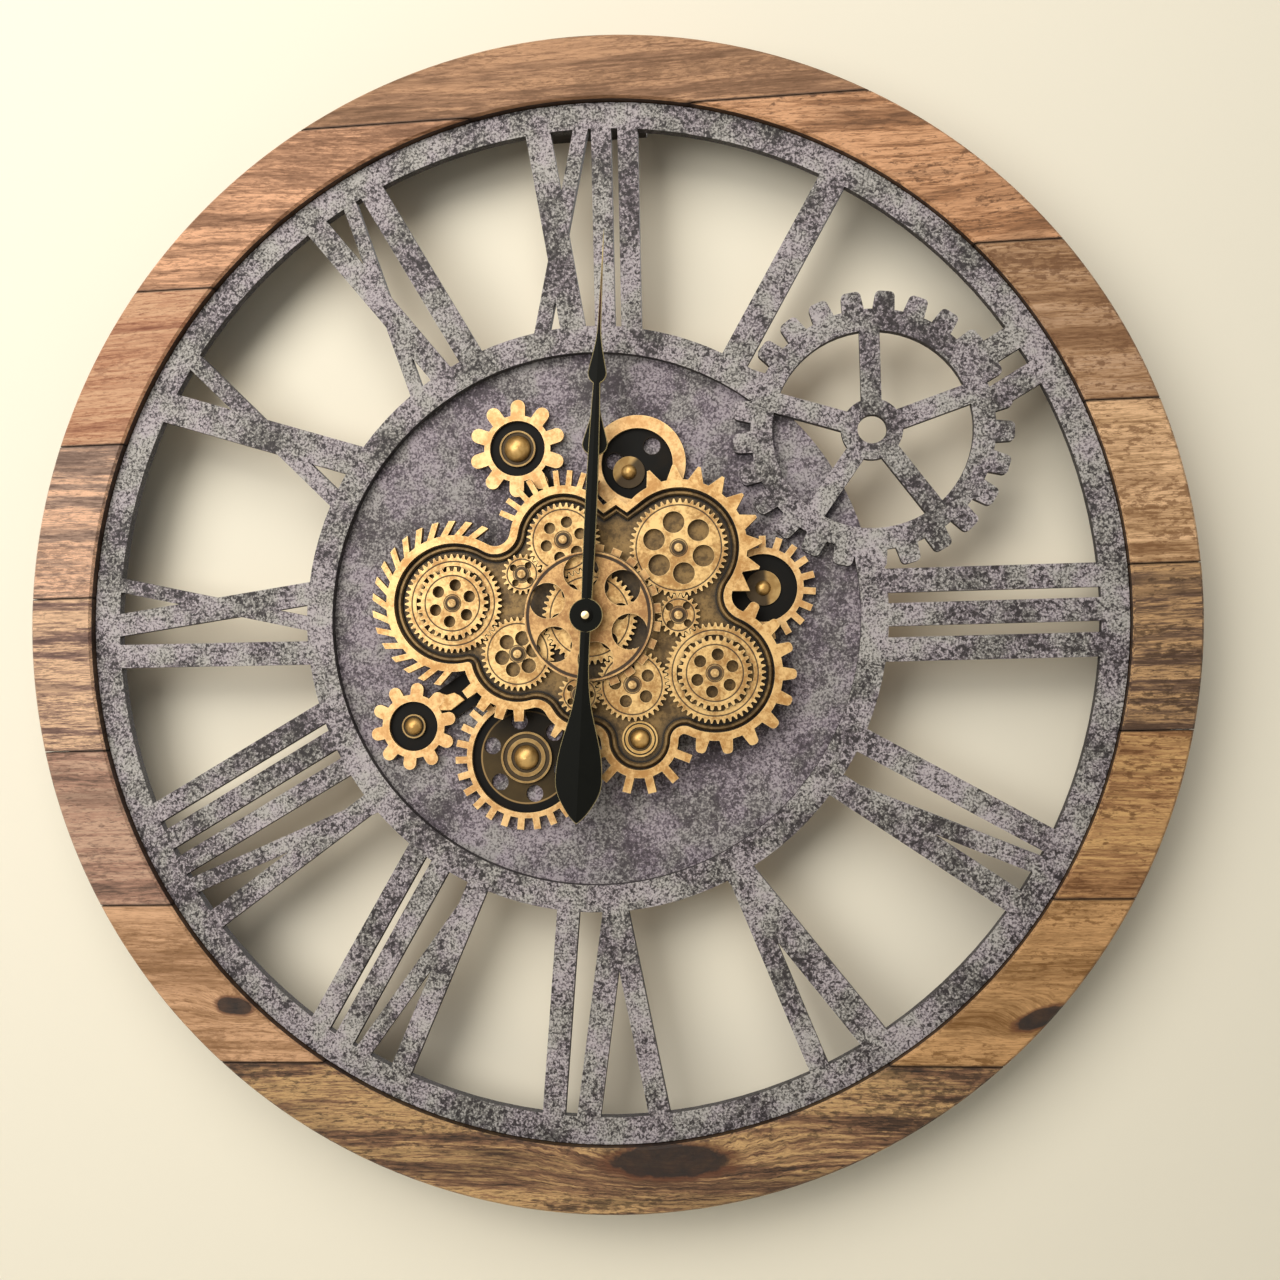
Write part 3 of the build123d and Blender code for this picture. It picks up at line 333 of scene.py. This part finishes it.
# %% Stone paint
def stone_paint(name, seed, ground, pale, fleck, strength, nodes):
    material, shader, at = new_finish(name)
    moved = at.node("Mapping", {"Vector": at, "Location": (seed, seed / 2, -seed)})
    grain = moved.noise(900.0, 2.0, 0.6)
    spots = moved.noise(460.0, 3.0, 0.65)
    thread = moved.noise(310.0, 1.5)
    cloud = moved.noise(38.0, 3.0)
    clump = moved.noise(120.0, 2.0)
    colour = (grain + (cloud - 0.5) * 0.5).step(0.36, 0.64).mix(paint(ground), paint(pale))
    cast = moved.noise(60.0, 2.0).step(0.4, 0.62).mix(paint("a194a5"), paint("97a08e"))
    colour = colour.node("Mix", {0: 0.5, 6: colour, 7: cast}, out=2, data_type="RGBA", blend_type="SOFT_LIGHT")
    flecks = (spots + (cloud - 0.5) * 0.4 + (clump - 0.5) * 0.2).step(0.47, 0.4)
    threads = abs(thread - 0.5).step(0.03, 0.01) * grain.step(0.62, 0.45)
    marks = flecks.larger(threads * 0.8) * strength
    colour = marks.mix(colour, paint(fleck))
    colour = (side_mask(at) * 0.85).mix(colour, paint("1d1a1c"))
    colour = depth_part(at).step(0.4, 0.7).mix(colour, grain.mix(paint("6a5641"), paint("8b7357")))
    plug(at.tree, shader, {"Base Color": colour, "Roughness": 0.72 - marks * 0.15,
                           "Normal": relief(grain - marks, 0.3, 0.0003)})
    shader.inputs["Specular IOR Level"].default_value = 0.25
    dress(material, *nodes)


stone_paint("stone_dial", 0.3, "6d6768", "bfb8b7", "241f22", 0.9, ["dial_plate"])
stone_paint("stone_disc", 1.7, "6e666b", "b3abad", "352e33", 0.75, ["center_disc"])

# %% [markdown]
# Antique gold.
# The frame and the gears are cast, painted gold and washed with a brown glaze that was wiped off again: it
# stays in the corners, in the tooth gaps and in the thin turned grooves. The Ambient Occlusion node finds the
# corners of a piece, where that glaze is mixed with painted shade, and the side walls are darkened as painted
# shade. The same node turned inwards finds its sharp edges, where the gold is rubbed bright.
# Grooves are rings round the gear's own axis, so each gear has a finish of its own, centred with its axis.

# %% Gold finish
def antique_gold(name, nodes, axis=None, rings=(), gold="dcb87c", deep="9f7745", corner_share=0.95, reach=0.0035,
                 glaze_and_shade="26180c", spread=(0.12, 0.55), side_shade=0.6, ring_darkness=0.88):
    material, shader, at = new_finish(name)
    cloud = at.noise(90.0, 4.0, 0.65)
    mottle = at.noise(460.0, 4.0, 0.7)
    colour = (cloud * 0.55 + mottle * 0.45).step(0.4, 0.6).mix(paint(deep), paint(gold))
    # Corners get the brown glaze mixed with painted shade, and side walls get painted shade.
    corner = closeness(at, reach, False)
    wash_and_shade = (corner + (mottle - 0.5) * 0.35).step(*spread) * corner_share
    wash_and_shade = wash_and_shade.larger(side_mask(at) * side_shade)
    if axis:
        radius = around(at, *axis)
        # Rings are dark turned grooves, and on the floor also the painted shadow ring of the pierced wheel.
        for ring, half in rings:
            dark_ring = abs(radius - ring).step(half + 0.00015, half - 0.00015)
            wash_and_shade = wash_and_shade.larger(dark_ring * ring_darkness)
    colour = wash_and_shade.mix(colour, paint(glaze_and_shade))
    rub = closeness(at, 0.0006, True).step(0.2, 0.6) * (1 - wash_and_shade)
    colour = (rub * 0.6).mix(colour, paint("f3d8a2"))
    plug(at.tree, shader, {"Base Color": colour, "Metallic": 0.55 - wash_and_shade * 0.4,
                           "Roughness": 0.4 + wash_and_shade * 0.3, "Normal": relief(mottle * 0.5 - wash_and_shade, 0.3, 0.0003)})
    dress(material, *nodes)


print("gold finish ready")

# %% [markdown]
# Gold pieces.
# The toothed frame is the brightest. The floor under the gears is a darker gold that stands partly for painted
# shade, and it took more of the wash and of the painted corner shade. Behind the pierced wheel a wide dark ring
# is painted on it as the wheel's shadow, which makes the windows dark. Each gear has one or two grooves, given as
# shares of its pitch radius, and rings round its hub. The wheel in the middle has one groove near its rim.

# %% Gold on frame and gears
MODULE = 0.001
ARBOR = (0.0, ARBOR_Z)
HUB_RINGS = [(0.0032, 0.0006), (0.0044, 0.00025)]   # radius and half width
# Radius and half width of the dark ring painted on the floor as the pierced wheel's shadow.
WHEEL_SHADOW_RING = [(0.016, 0.0155)]
WHEEL_GROOVE = [(0.0310, 0.0008)]
GROOVE_HALF = 0.00035
GEARS = {                   # teeth, and the grooves' shares of the pitch radius
    "lower_left_gear": (36, (0.86,)), "left_gear": (49, (0.88, 0.58)), "top_gear": (36, (0.86,)),
    "upper_left_gear": (19, (0.8,)), "lower_gear": (35, (0.86,)), "lower_right_gear": (49, (0.88, 0.58)),
    "right_gear": (20, (0.8,)), "upper_right_gear": (48, (0.9,)), "bottom_gear": (20, (0.8,)),
    "center_gear": (47, (0.86,)),
}
antique_gold("gold_frame", ["gear_frame"], gold="dcb67c", deep="ac7f49")
# The floor's darker gold is partly painted shade, and its wide dark ring is the wheel's painted shadow.
antique_gold("gold_floor", ["gear_field"], ARBOR, WHEEL_SHADOW_RING, gold="856a41", deep="4e3c23", corner_share=1.0,
             reach=0.007, glaze_and_shade="150f09", spread=(0.0, 0.16), ring_darkness=0.68)
antique_gold("gold_rim_gears", ["rim_gear_top_left", "rim_gear_top", "rim_gear_right",
                                "rim_gear_bottom_left", "rim_gear_bottom"], gold="dcb680", deep="b78a56")
pin_axes = []
for gear_name, (teeth, shares) in GEARS.items():
    low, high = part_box(gear_name)
    middle = (low + high) / 2
    pitch = teeth * MODULE / 2
    axis = (middle.x, middle.z)
    grooves = [(share * pitch, GROOVE_HALF) for share in shares]
    antique_gold("gold_" + gear_name, [gear_name], axis, grooves + HUB_RINGS)
    pin_axes.append(axis)
# The pierced wheel's side walls get strong painted shade.
antique_gold("gold_center_wheel", ["center_wheel"], ARBOR, WHEEL_GROOVE, gold="c79f69", deep="936b41",
             side_shade=0.9, ring_darkness=0.95)

# %% [markdown]
# Foot and tooth.
# Two small bits of the golden casting are added to the CAD shapes: a flat foot between the lower left gear and
# the frame, and a pointed tooth of the frame beside the right gear. Each could be a filled curve; here a filled
# circle with as many corners as the outline has gets its corners put in place, is extruded to its thickness and
# has its edges bevelled. Both stay a little below the face that they join, so that no two faces lie in one plane.

# %% Foot and tooth
MM = 0.001
FOOT = ((-84.0, -40.5), (-79.9, -36.8), (-76.6, -38.0), (-72.5, -36.9), (-69.2, -38.8), (-66.9, -40.8),
        (-74.3, -46.1), (-80.5, -46.0))
TOOTH = ((75.6, 20.2), (78.0, 19.0), (81.6, 10.3), (69.4, 10.6))
FOOT_DEPTHS = (29.0, 31.2)      # back and front, from the wall
TOOTH_DEPTHS = (33.0, 38.1)


def cast_plate(name, outline, back, front):
    """Flat piece of the casting from its outline in millimetres from the arbor."""
    bpy.ops.object.select_all(action="DESELECT")
    bpy.ops.mesh.primitive_circle_add(vertices=len(outline), fill_type="NGON")
    plate = bpy.context.object
    plate.name = name
    for corner, (x, z) in zip(plate.data.vertices, outline):
        corner.co = (MM * x, -MM * back, ARBOR_Z + MM * z)
    bpy.ops.object.mode_set(mode="EDIT")
    bpy.ops.mesh.select_all(action="SELECT")
    bpy.ops.mesh.extrude_region_move(TRANSFORM_OT_translate={"value": (0, MM * (back - front), 0)})
    bpy.ops.mesh.select_all(action="SELECT")
    bpy.ops.mesh.normals_make_consistent(inside=False)
    bpy.ops.mesh.bevel(offset=0.35 * MM, segments=2)
    bpy.ops.object.mode_set(mode="OBJECT")
    plate.data.materials.append(bpy.data.materials["gold_frame"])
    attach(plate, "clock")
    print(name, "faces:", len(plate.data.polygons))


cast_plate("gear_foot", FOOT, *FOOT_DEPTHS)
cast_plate("frame_tooth", TOOTH, *TOOTH_DEPTHS)

# %% [markdown]
# Axle pins.
# All eight pins are one solid list in the CAD model, so one finish serves them: it takes the distance to the
# nearest axis and darkens the edge of each head with glaze and painted shade, leaving a lighter middle.

# %% Pins
PIN_EDGE = (0.0019, 0.0023)     # radii between which the glaze and painted shade begin


def pin_brass(axes):
    material, shader, at = new_finish("pin_brass")
    nearest = None
    for axis in axes:
        here = around(at, *axis)
        nearest = here if nearest is None else nearest.maths("MINIMUM", nearest, here)
    mottle = at.noise(420.0, 3.0, 0.7)
    colour = mottle.step(0.35, 0.65).mix(paint("94703f"), paint("d8b57c"))
    # Glaze and painted shade round the edge of each head.
    wash_and_shade = nearest.step(*PIN_EDGE) * 0.9
    colour = wash_and_shade.mix(colour, paint("24170d"))
    plug(at.tree, shader, {"Base Color": colour, "Metallic": 0.45 - wash_and_shade * 0.3, "Roughness": 0.42 + wash_and_shade * 0.3})
    dress(material, "axle_pins", "drive_shaft")


pin_brass(pin_axes)

# %% [markdown]
# Black base.
# The plate under the frame is moulded black and shows between the teeth and inside the rim gears. It is satin
# with a little brown bloom, and its edges are faintly rubbed. On the pad of the lowest rim gear a bronze sheen is
# painted, stronger towards its lower left, out to a thin painted highlight on the edge of its step.

# %% Base finish
SHEEN_PAD = (-0.0354, -0.3441)     # x and z of its middle
PAD_STEP = 0.0236                   # radius of the painted highlight line


def black_base():
    material, shader, at = new_finish("black_base")
    bloom = at.noise(70.0, 4.0, 0.6)
    rub = closeness(at, 0.0008, True).step(0.2, 0.7)
    colour = (bloom.step(0.45, 0.75) * 0.5).mix(paint("0a0908"), paint("241d15"))
    x, y, z = at.split()
    out = around(at, *SHEEN_PAD)
    # A bronze sheen painted on the pad, stronger towards its lower left, and a painted highlight on the edge of
    # its step.
    lower_left = ((SHEEN_PAD[0] - x) * 0.6 + (SHEEN_PAD[1] - z) * 0.8).step(-0.014, 0.016)
    painted_sheen = out.step(PAD_STEP, PAD_STEP - 0.0006) * (lower_left * 0.36 + 0.04) * (bloom + 0.35)
    colour = painted_sheen.mix(colour, paint("7a6440"))
    painted_step_highlight = abs(out - PAD_STEP).step(0.0006, 0.0002) * (lower_left * 0.6 + 0.2)
    colour = painted_step_highlight.mix(colour, paint("b08f5f"))
    colour = (rub * 0.35).mix(colour, paint("5d482d"))
    plug(at.tree, shader, {"Base Color": colour, "Roughness": 0.4 + bloom * 0.3,
                           "Normal": relief(bloom, 0.15, 0.0004)})
    shader.inputs["Specular IOR Level"].default_value = 0.12
    dress(material, "gear_base")


black_base()

# %% [markdown]
# Dome bolts.
# The domes are satin antique brass on washers with raised rings. Metal takes its look from what it mirrors,
# and a satin one mirrors it blurred, so the roughness is in the middle. A dark glaze mixed with painted shade
# covers the foot of each dome, the flat of the washer between dome and rings, and thinly the rings. Their depths
# find them. The bolt on the golden floor has its flat further forward, where a dome on the base ends too, so its
# place is asked for as well. On two washers without rings one side is painted lighter as a lit side, and the rest
# keeps the painted shade.

# %% Brass domes
WASHER_FLAT, WASHER_RINGS, FLOOR_FLAT = 0.030, 0.0308, 0.035    # depths from the wall
FLOOR_BOLT = (0.024, -0.3355)
PLAIN_WASHERS = ((0.0879, -0.2608, 5), (0.021, -0.1991, 135))   # x, z and the direction of the painted lit side in degrees


def at_depth(y, depth):
    """1 on faces at that distance from the wall."""
    return abs(y + depth).step(0.0003, 0.0001)


def dome_brass():
    material, shader, at = new_finish("dome_brass")
    x, y, z = at.split()
    cloud = at.noise(160.0, 3.0)
    # Dark glaze mixed with painted shade at the foot of the dome and on the washer's flat and rings.
    glaze_and_shade = closeness(at, 0.003, False).step(0.08, 0.42)
    glaze_and_shade = glaze_and_shade.larger(at_depth(y, WASHER_FLAT)).larger(at_depth(y, WASHER_RINGS) * 0.5)
    floor_bolt = around(at, *FLOOR_BOLT).step(0.0098, 0.0094)
    glaze_and_shade = glaze_and_shade.larger(at_depth(y, FLOOR_FLAT) * floor_bolt * 0.85)
    # On two plain washers one side is painted lighter as a lit side; the other side keeps the painted shade.
    for x0, z0, side in PLAIN_WASHERS:
        toward = (x - x0) * cos(radians(side)) + (z - z0) * sin(radians(side))
        painted_lit_side = around(at, x0, z0).step(0.0094, 0.0090) * toward.step(0.0005, 0.0035)
        glaze_and_shade = glaze_and_shade * (1 - painted_lit_side * 0.6)
    colour = cloud.step(0.4, 0.65).mix(paint("ab8750"), paint("c9a66c"))
    colour = (glaze_and_shade * 0.92).mix(colour, paint("20170d"))
    rub = closeness(at, 0.0005, True).step(0.25, 0.6) * (1 - glaze_and_shade)
    colour = (rub * 0.6).mix(colour, paint("ecd3a0"))
    plug(at.tree, shader, {"Base Color": colour, "Metallic": 0.85 - glaze_and_shade * 0.4,
                           "Roughness": 0.36 + cloud * 0.1 + glaze_and_shade * 0.2})
    dress(material, "dome_bolts")


dome_brass()

# %% [markdown]
# Hands.
# The hands are stamped brass with black satin lacquer on their faces. The lacquer is rubbed off along the
# outline, which leaves a thin bright line, so the edge finder mixes brass into the black. On the thin needle of
# the minute hand it has worn to a reddish brown.

# %% Hand lacquer
NEEDLE = (-0.135, -0.115)       # heights between which the needle begins


def hand_lacquer():
    material, shader, at = new_finish("hand_lacquer")
    cloud = at.noise(120.0, 3.0)
    bare = closeness(at, 0.0005, True).step(0.18, 0.45) * 0.7
    bare = bare.larger(side_mask(at) * 0.85)
    colour = cloud.mix(paint("070806"), paint("0e0f0c"))
    needle = at.split()[2].step(*NEEDLE)
    colour = (needle * 0.7).mix(colour, paint("4a2a20"))
    colour = bare.mix(colour, paint("d2c08a"))
    plug(at.tree, shader, {"Base Color": colour, "Metallic": bare * 0.6,
                           "Roughness": 0.36 + cloud * 0.16, "Normal": relief(cloud, 0.08, 0.0003)})
    shader.inputs["Specular IOR Level"].default_value = 0.07
    dress(material, "hour_hand", "minute_hand")


hand_lacquer()

# %% [markdown]
# Plain metals.
# Screws, hanger plate and arbor are zinc or brass as they come from the lathe: a light metal with streaks of
# machining and a slight stain. One function makes them all.

# %% Turned metals
def turned_metal(name, bright, dull, roughness, *nodes):
    material, shader, at = new_finish(name)
    x, y, z = at.split()
    streaks = at.join(x * 300, y * 4000, z * 300).noise(1.0, 2.0)
    stain = at.noise(220.0, 3.0)
    colour = stain.step(0.35, 0.7).mix(paint(dull), paint(bright))
    plug(at.tree, shader, {"Base Color": colour, "Metallic": 0.9, "Roughness": streaks * 0.25 + roughness,
                           "Normal": relief(streaks, 0.1, 0.0001)})
    dress(material, *nodes)


turned_metal("zinc", "c9c8c4", "9c9a94", 0.25, "hanger_plate", "hanger_screws", "dial_screws",
             "disc_screws", "drive_screws")
turned_metal("brass", "d2b071", "a07c44", 0.22, "center_bush", "shaft_nut", "hour_tube", "minute_arbor")

# %% [markdown]
# Hand cap.
# The nut that holds the hands is black like them. Only the end of the arbor in its middle is bare metal, a
# pale golden dot, so the finish goes by the distance from the arbor.

# %% Cap
ARBOR_END = (0.0021, 0.0018)    # radii between which the bare end begins


def cap_finish():
    material, shader, at = new_finish("hand_cap")
    bare = around(at, *ARBOR).step(*ARBOR_END)
    cloud = at.noise(500.0, 2.0)
    colour = bare.mix(cloud.mix(paint("080807"), paint("13120f")), cloud.mix(paint("d9c08c"), paint("efdcb0")))
    plug(at.tree, shader, {"Base Color": colour, "Metallic": bare * 0.7, "Roughness": 0.42 - bare * 0.12})
    shader.inputs["Specular IOR Level"].default_value = 0.08
    dress(material, "hand_cap")


cap_finish()

# %% [markdown]
# Movement and drive.
# Behind the disc sit a quartz movement and the battery drive of the gears. Their cases are black plastic with
# the fine grain of a spark-eroded mould, and the setting knob and the switch are pale. One function with two
# colours serves all four.

# %% Plastics
def moulded_plastic(name, colour, bloom, *nodes):
    material, shader, at = new_finish(name)
    grain = at.noise(2600.0, 2.0)
    haze = at.noise(60.0, 3.0)
    tone = haze.step(0.35, 0.7).mix(paint(colour), paint(bloom))
    plug(at.tree, shader, {"Base Color": tone, "Roughness": 0.45 + grain * 0.2,
                           "Normal": relief(grain, 0.25, 0.0001)})
    dress(material, *nodes)


moulded_plastic("case_plastic", "17171a", "26262a", "movement_case", "drive_case")
moulded_plastic("knob_plastic", "b9b6ae", "cfccc4", "setting_knob")
moulded_plastic("switch_plastic", "9a9c9f", "b3b5b7", "switch_slider")

# %% [markdown]
# Cells.
# An AA cell has a thin printed sleeve. Here it is a plain dark one with a copper band at one end. The band could
# be a sleeve of its own; as a step along the cell's length it needs no new mesh. The box of a node gives the end.

# %% Cell wrap
COPPER_BAND = (0.0145, 0.0142)  # the band ends between these distances from the cell's end


def cell_wrap():
    material, shader, at = new_finish("cell_wrap")
    x, y, z = at.split()
    band = None
    for low, high in (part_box("drive_cells"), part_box("movement_cell")):
        here = (high.x - x).step(*COPPER_BAND) * x.step(high.x + 0.0004, high.x)
        band = here if band is None else band.larger(here)
    cloud = at.noise(90.0, 2.0)
    colour = band.mix(paint("2b3138"), paint("b87a4b"))
    plug(at.tree, shader, {"Base Color": colour, "Metallic": band * 0.7 + 0.1, "Roughness": 0.25 + cloud * 0.12})
    dress(material, "drive_cells", "movement_cell")


cell_wrap()

# %% [markdown]
# Wall and floor.
# The clock hangs on a plain cream wall. One sheet makes the wall and the floor: a plane whose lower edge is
# extruded forwards, with the corner bevelled to a soft cove. Two planes would leave a hard line between them.

# %% Backdrop
WALL_Y = 0.0006             # just behind the clock's back
WALL_HALF = 2.4
FLOOR_Z = -1.15
COVE = 0.4


def backdrop():
    bpy.ops.object.select_all(action="DESELECT")
    bpy.ops.mesh.primitive_plane_add(size=2 * WALL_HALF, location=(0, WALL_Y, FLOOR_Z + WALL_HALF),
                                     rotation=(radians(90), 0, 0))
    sheet = bpy.context.object
    sheet.name = "backdrop"
    bpy.ops.object.transform_apply(location=True, rotation=True, scale=True)
    bpy.ops.object.mode_set(mode="EDIT")
    bpy.ops.mesh.select_all(action="DESELECT")
    bpy.ops.object.mode_set(mode="OBJECT")
    for edge in sheet.data.edges:
        edge.select = all(sheet.data.vertices[v].co.z < FLOOR_Z + 0.01 for v in edge.vertices)
    bpy.ops.object.mode_set(mode="EDIT")
    bpy.ops.mesh.select_mode(type="EDGE")
    bpy.ops.mesh.extrude_region_move(TRANSFORM_OT_translate={"value": (0, -2 * WALL_HALF, 0)})
    bpy.ops.mesh.select_all(action="DESELECT")
    bpy.ops.object.mode_set(mode="OBJECT")
    for edge in sheet.data.edges:
        ends = [sheet.data.vertices[v].co for v in edge.vertices]
        edge.select = all(p.z < FLOOR_Z + 0.01 and p.y > WALL_Y - 0.01 for p in ends)
    bpy.ops.object.mode_set(mode="EDIT")
    bpy.ops.mesh.bevel(offset=COVE, segments=16)
    bpy.ops.mesh.select_all(action="SELECT")
    bpy.ops.mesh.normals_make_consistent(inside=True)
    bpy.ops.object.mode_set(mode="OBJECT")
    bpy.ops.object.shade_smooth()
    return sheet


wall = backdrop()
facing = sum(1 for p in wall.data.polygons if p.normal.y < -0.5)
print("backdrop faces:", len(wall.data.polygons), "facing the room:", facing)

# %% [markdown]
# Wall paint.
# A matt cream paint with the faint grain of a roller. The sheet is clear from behind, so that the back of the
# clock can be looked at, and it lets shadow rays pass so that light reaches the clock's back. Far from the clock
# it fades into the plain background. A Mix Shader between the paint and a clear shader does all three.

# %% Wall paint
FADE = (0.8, 1.7)           # distances from the arbor between which the wall fades out


def wall_paint(sheet):
    material, shader, at = new_finish("wall_paint")
    tree = at.tree
    roller = at.noise(420.0, 2.0)
    plug(tree, shader, {"Base Color": paint("f4ecd9"), "Roughness": 0.9, "Normal": relief(roller, 0.05, 0.0004)})
    rays = tree.nodes.new("ShaderNodeLightPath")
    behind = Wire(tree, tree.nodes.new("ShaderNodeNewGeometry").outputs["Backfacing"])
    shadow = Wire(tree, rays.outputs["Is Shadow Ray"])
    away = at.node("VectorMath", {0: at, 1: (0.0, 0.0, ARBOR_Z)}, out=1, operation="DISTANCE")
    clear = behind.larger(shadow).larger(away.step(*FADE))
    glass = tree.nodes.new("ShaderNodeBsdfTransparent")
    blend = tree.nodes.new("ShaderNodeMixShader")
    plug(tree, blend, {0: clear, 1: Wire(tree, shader.outputs[0]), 2: Wire(tree, glass.outputs[0])})
    plug(tree, tree.nodes["Material Output"], {0: Wire(tree, blend.outputs[0])})
    sheet.data.materials.append(material)


wall_paint(wall)
print("wall painted")

# %% [markdown]
# Light.
# The room is lit by two large soft windows, one at the left and one high up, so the wall is brightest in its
# upper left corner and darkest in the opposite one. Two big area lamps stand for them, and a third one lights
# the back of the clock. The world is a dim, even and slightly cooler light, which fills the shadows. The camera
# and mirrors see it at full strength as a plain background.

# %% Lamps and world
CENTRE = Vector((0.0, -0.03, ARBOR_Z))


def soft_lamp(name, place, size, power, colour):
    data = bpy.data.lights.new(name, "AREA")
    data.shape, data.size, data.energy, data.color = "DISK", size, power, colour
    lamp = bpy.data.objects.new(name, data)
    lamp.location = place
    lamp.rotation_euler = (CENTRE - Vector(place)).to_track_quat("-Z", "Y").to_euler()
    bpy.context.collection.objects.link(lamp)
    return lamp


soft_lamp("left_window", (-0.82, -1.2, 0.05), 1.2, 13.5, (1.0, 0.98, 0.93))
soft_lamp("high_window", (-0.1, -1.2, 0.72), 1.2, 12.1, (1.0, 0.96, 0.88))
soft_lamp("behind", (0.6, 1.6, 0.6), 1.2, 20.0, (1.0, 0.98, 0.95))

world = bpy.data.worlds.new("room")
bpy.context.scene.world = world
world.use_nodes = True
tree = world.node_tree
fill = tree.nodes["Background"]
seen = tree.nodes.new("ShaderNodeBackground")
rays = tree.nodes.new("ShaderNodeLightPath")
to_eye, to_mirror, through = [Wire(tree, rays.outputs[f"Is {kind} Ray"])
                              for kind in ("Camera", "Glossy", "Transmission")]
plug(tree, fill, {"Color": (0.9, 0.96, 1.0, 1.0), "Strength": 0.21})
plug(tree, seen, {"Color": paint("f3ecdc"), "Strength": 1.0})
choose = tree.nodes.new("ShaderNodeMixShader")
plug(tree, choose, {0: to_eye.larger(to_mirror).larger(through),
                    1: Wire(tree, fill.outputs[0]), 2: Wire(tree, seen.outputs[0])})
plug(tree, tree.nodes["World Output"], {0: Wire(tree, choose.outputs[0])})

# %% [markdown]
# Camera.
# The photographer stood close, a little to the right of the arbor and just below it, and held the camera
# turned by a degree and a half. The view is set as three axes: right, up and back.

# %% Camera
EYE = Vector((0.0926, -0.6828, -0.3072))
ROLL = radians(1.4)
SENSOR, LENS = 36.0, 36.17


def rolled(x, y, z):
    return Vector((x * cos(ROLL) + z * sin(ROLL), y, -x * sin(ROLL) + z * cos(ROLL)))


lens = bpy.data.cameras.new("camera")
lens.sensor_width, lens.lens = SENSOR, LENS
camera = bpy.data.objects.new("camera", lens)
bpy.context.collection.objects.link(camera)
axes = [rolled(0.9945, 0.1043, 0.0), rolled(0.0032, -0.0305, 0.9995), -rolled(-0.1043, 0.9941, 0.0307)]
camera.matrix_world = Matrix.Translation(EYE) @ Matrix(axes).transposed().to_4x4()
bpy.context.scene.camera = camera
bpy.context.scene.view_settings.view_transform = "Standard"
print("view angle:", round(degrees(2 * atan(SENSOR / 2 / LENS)), 1))
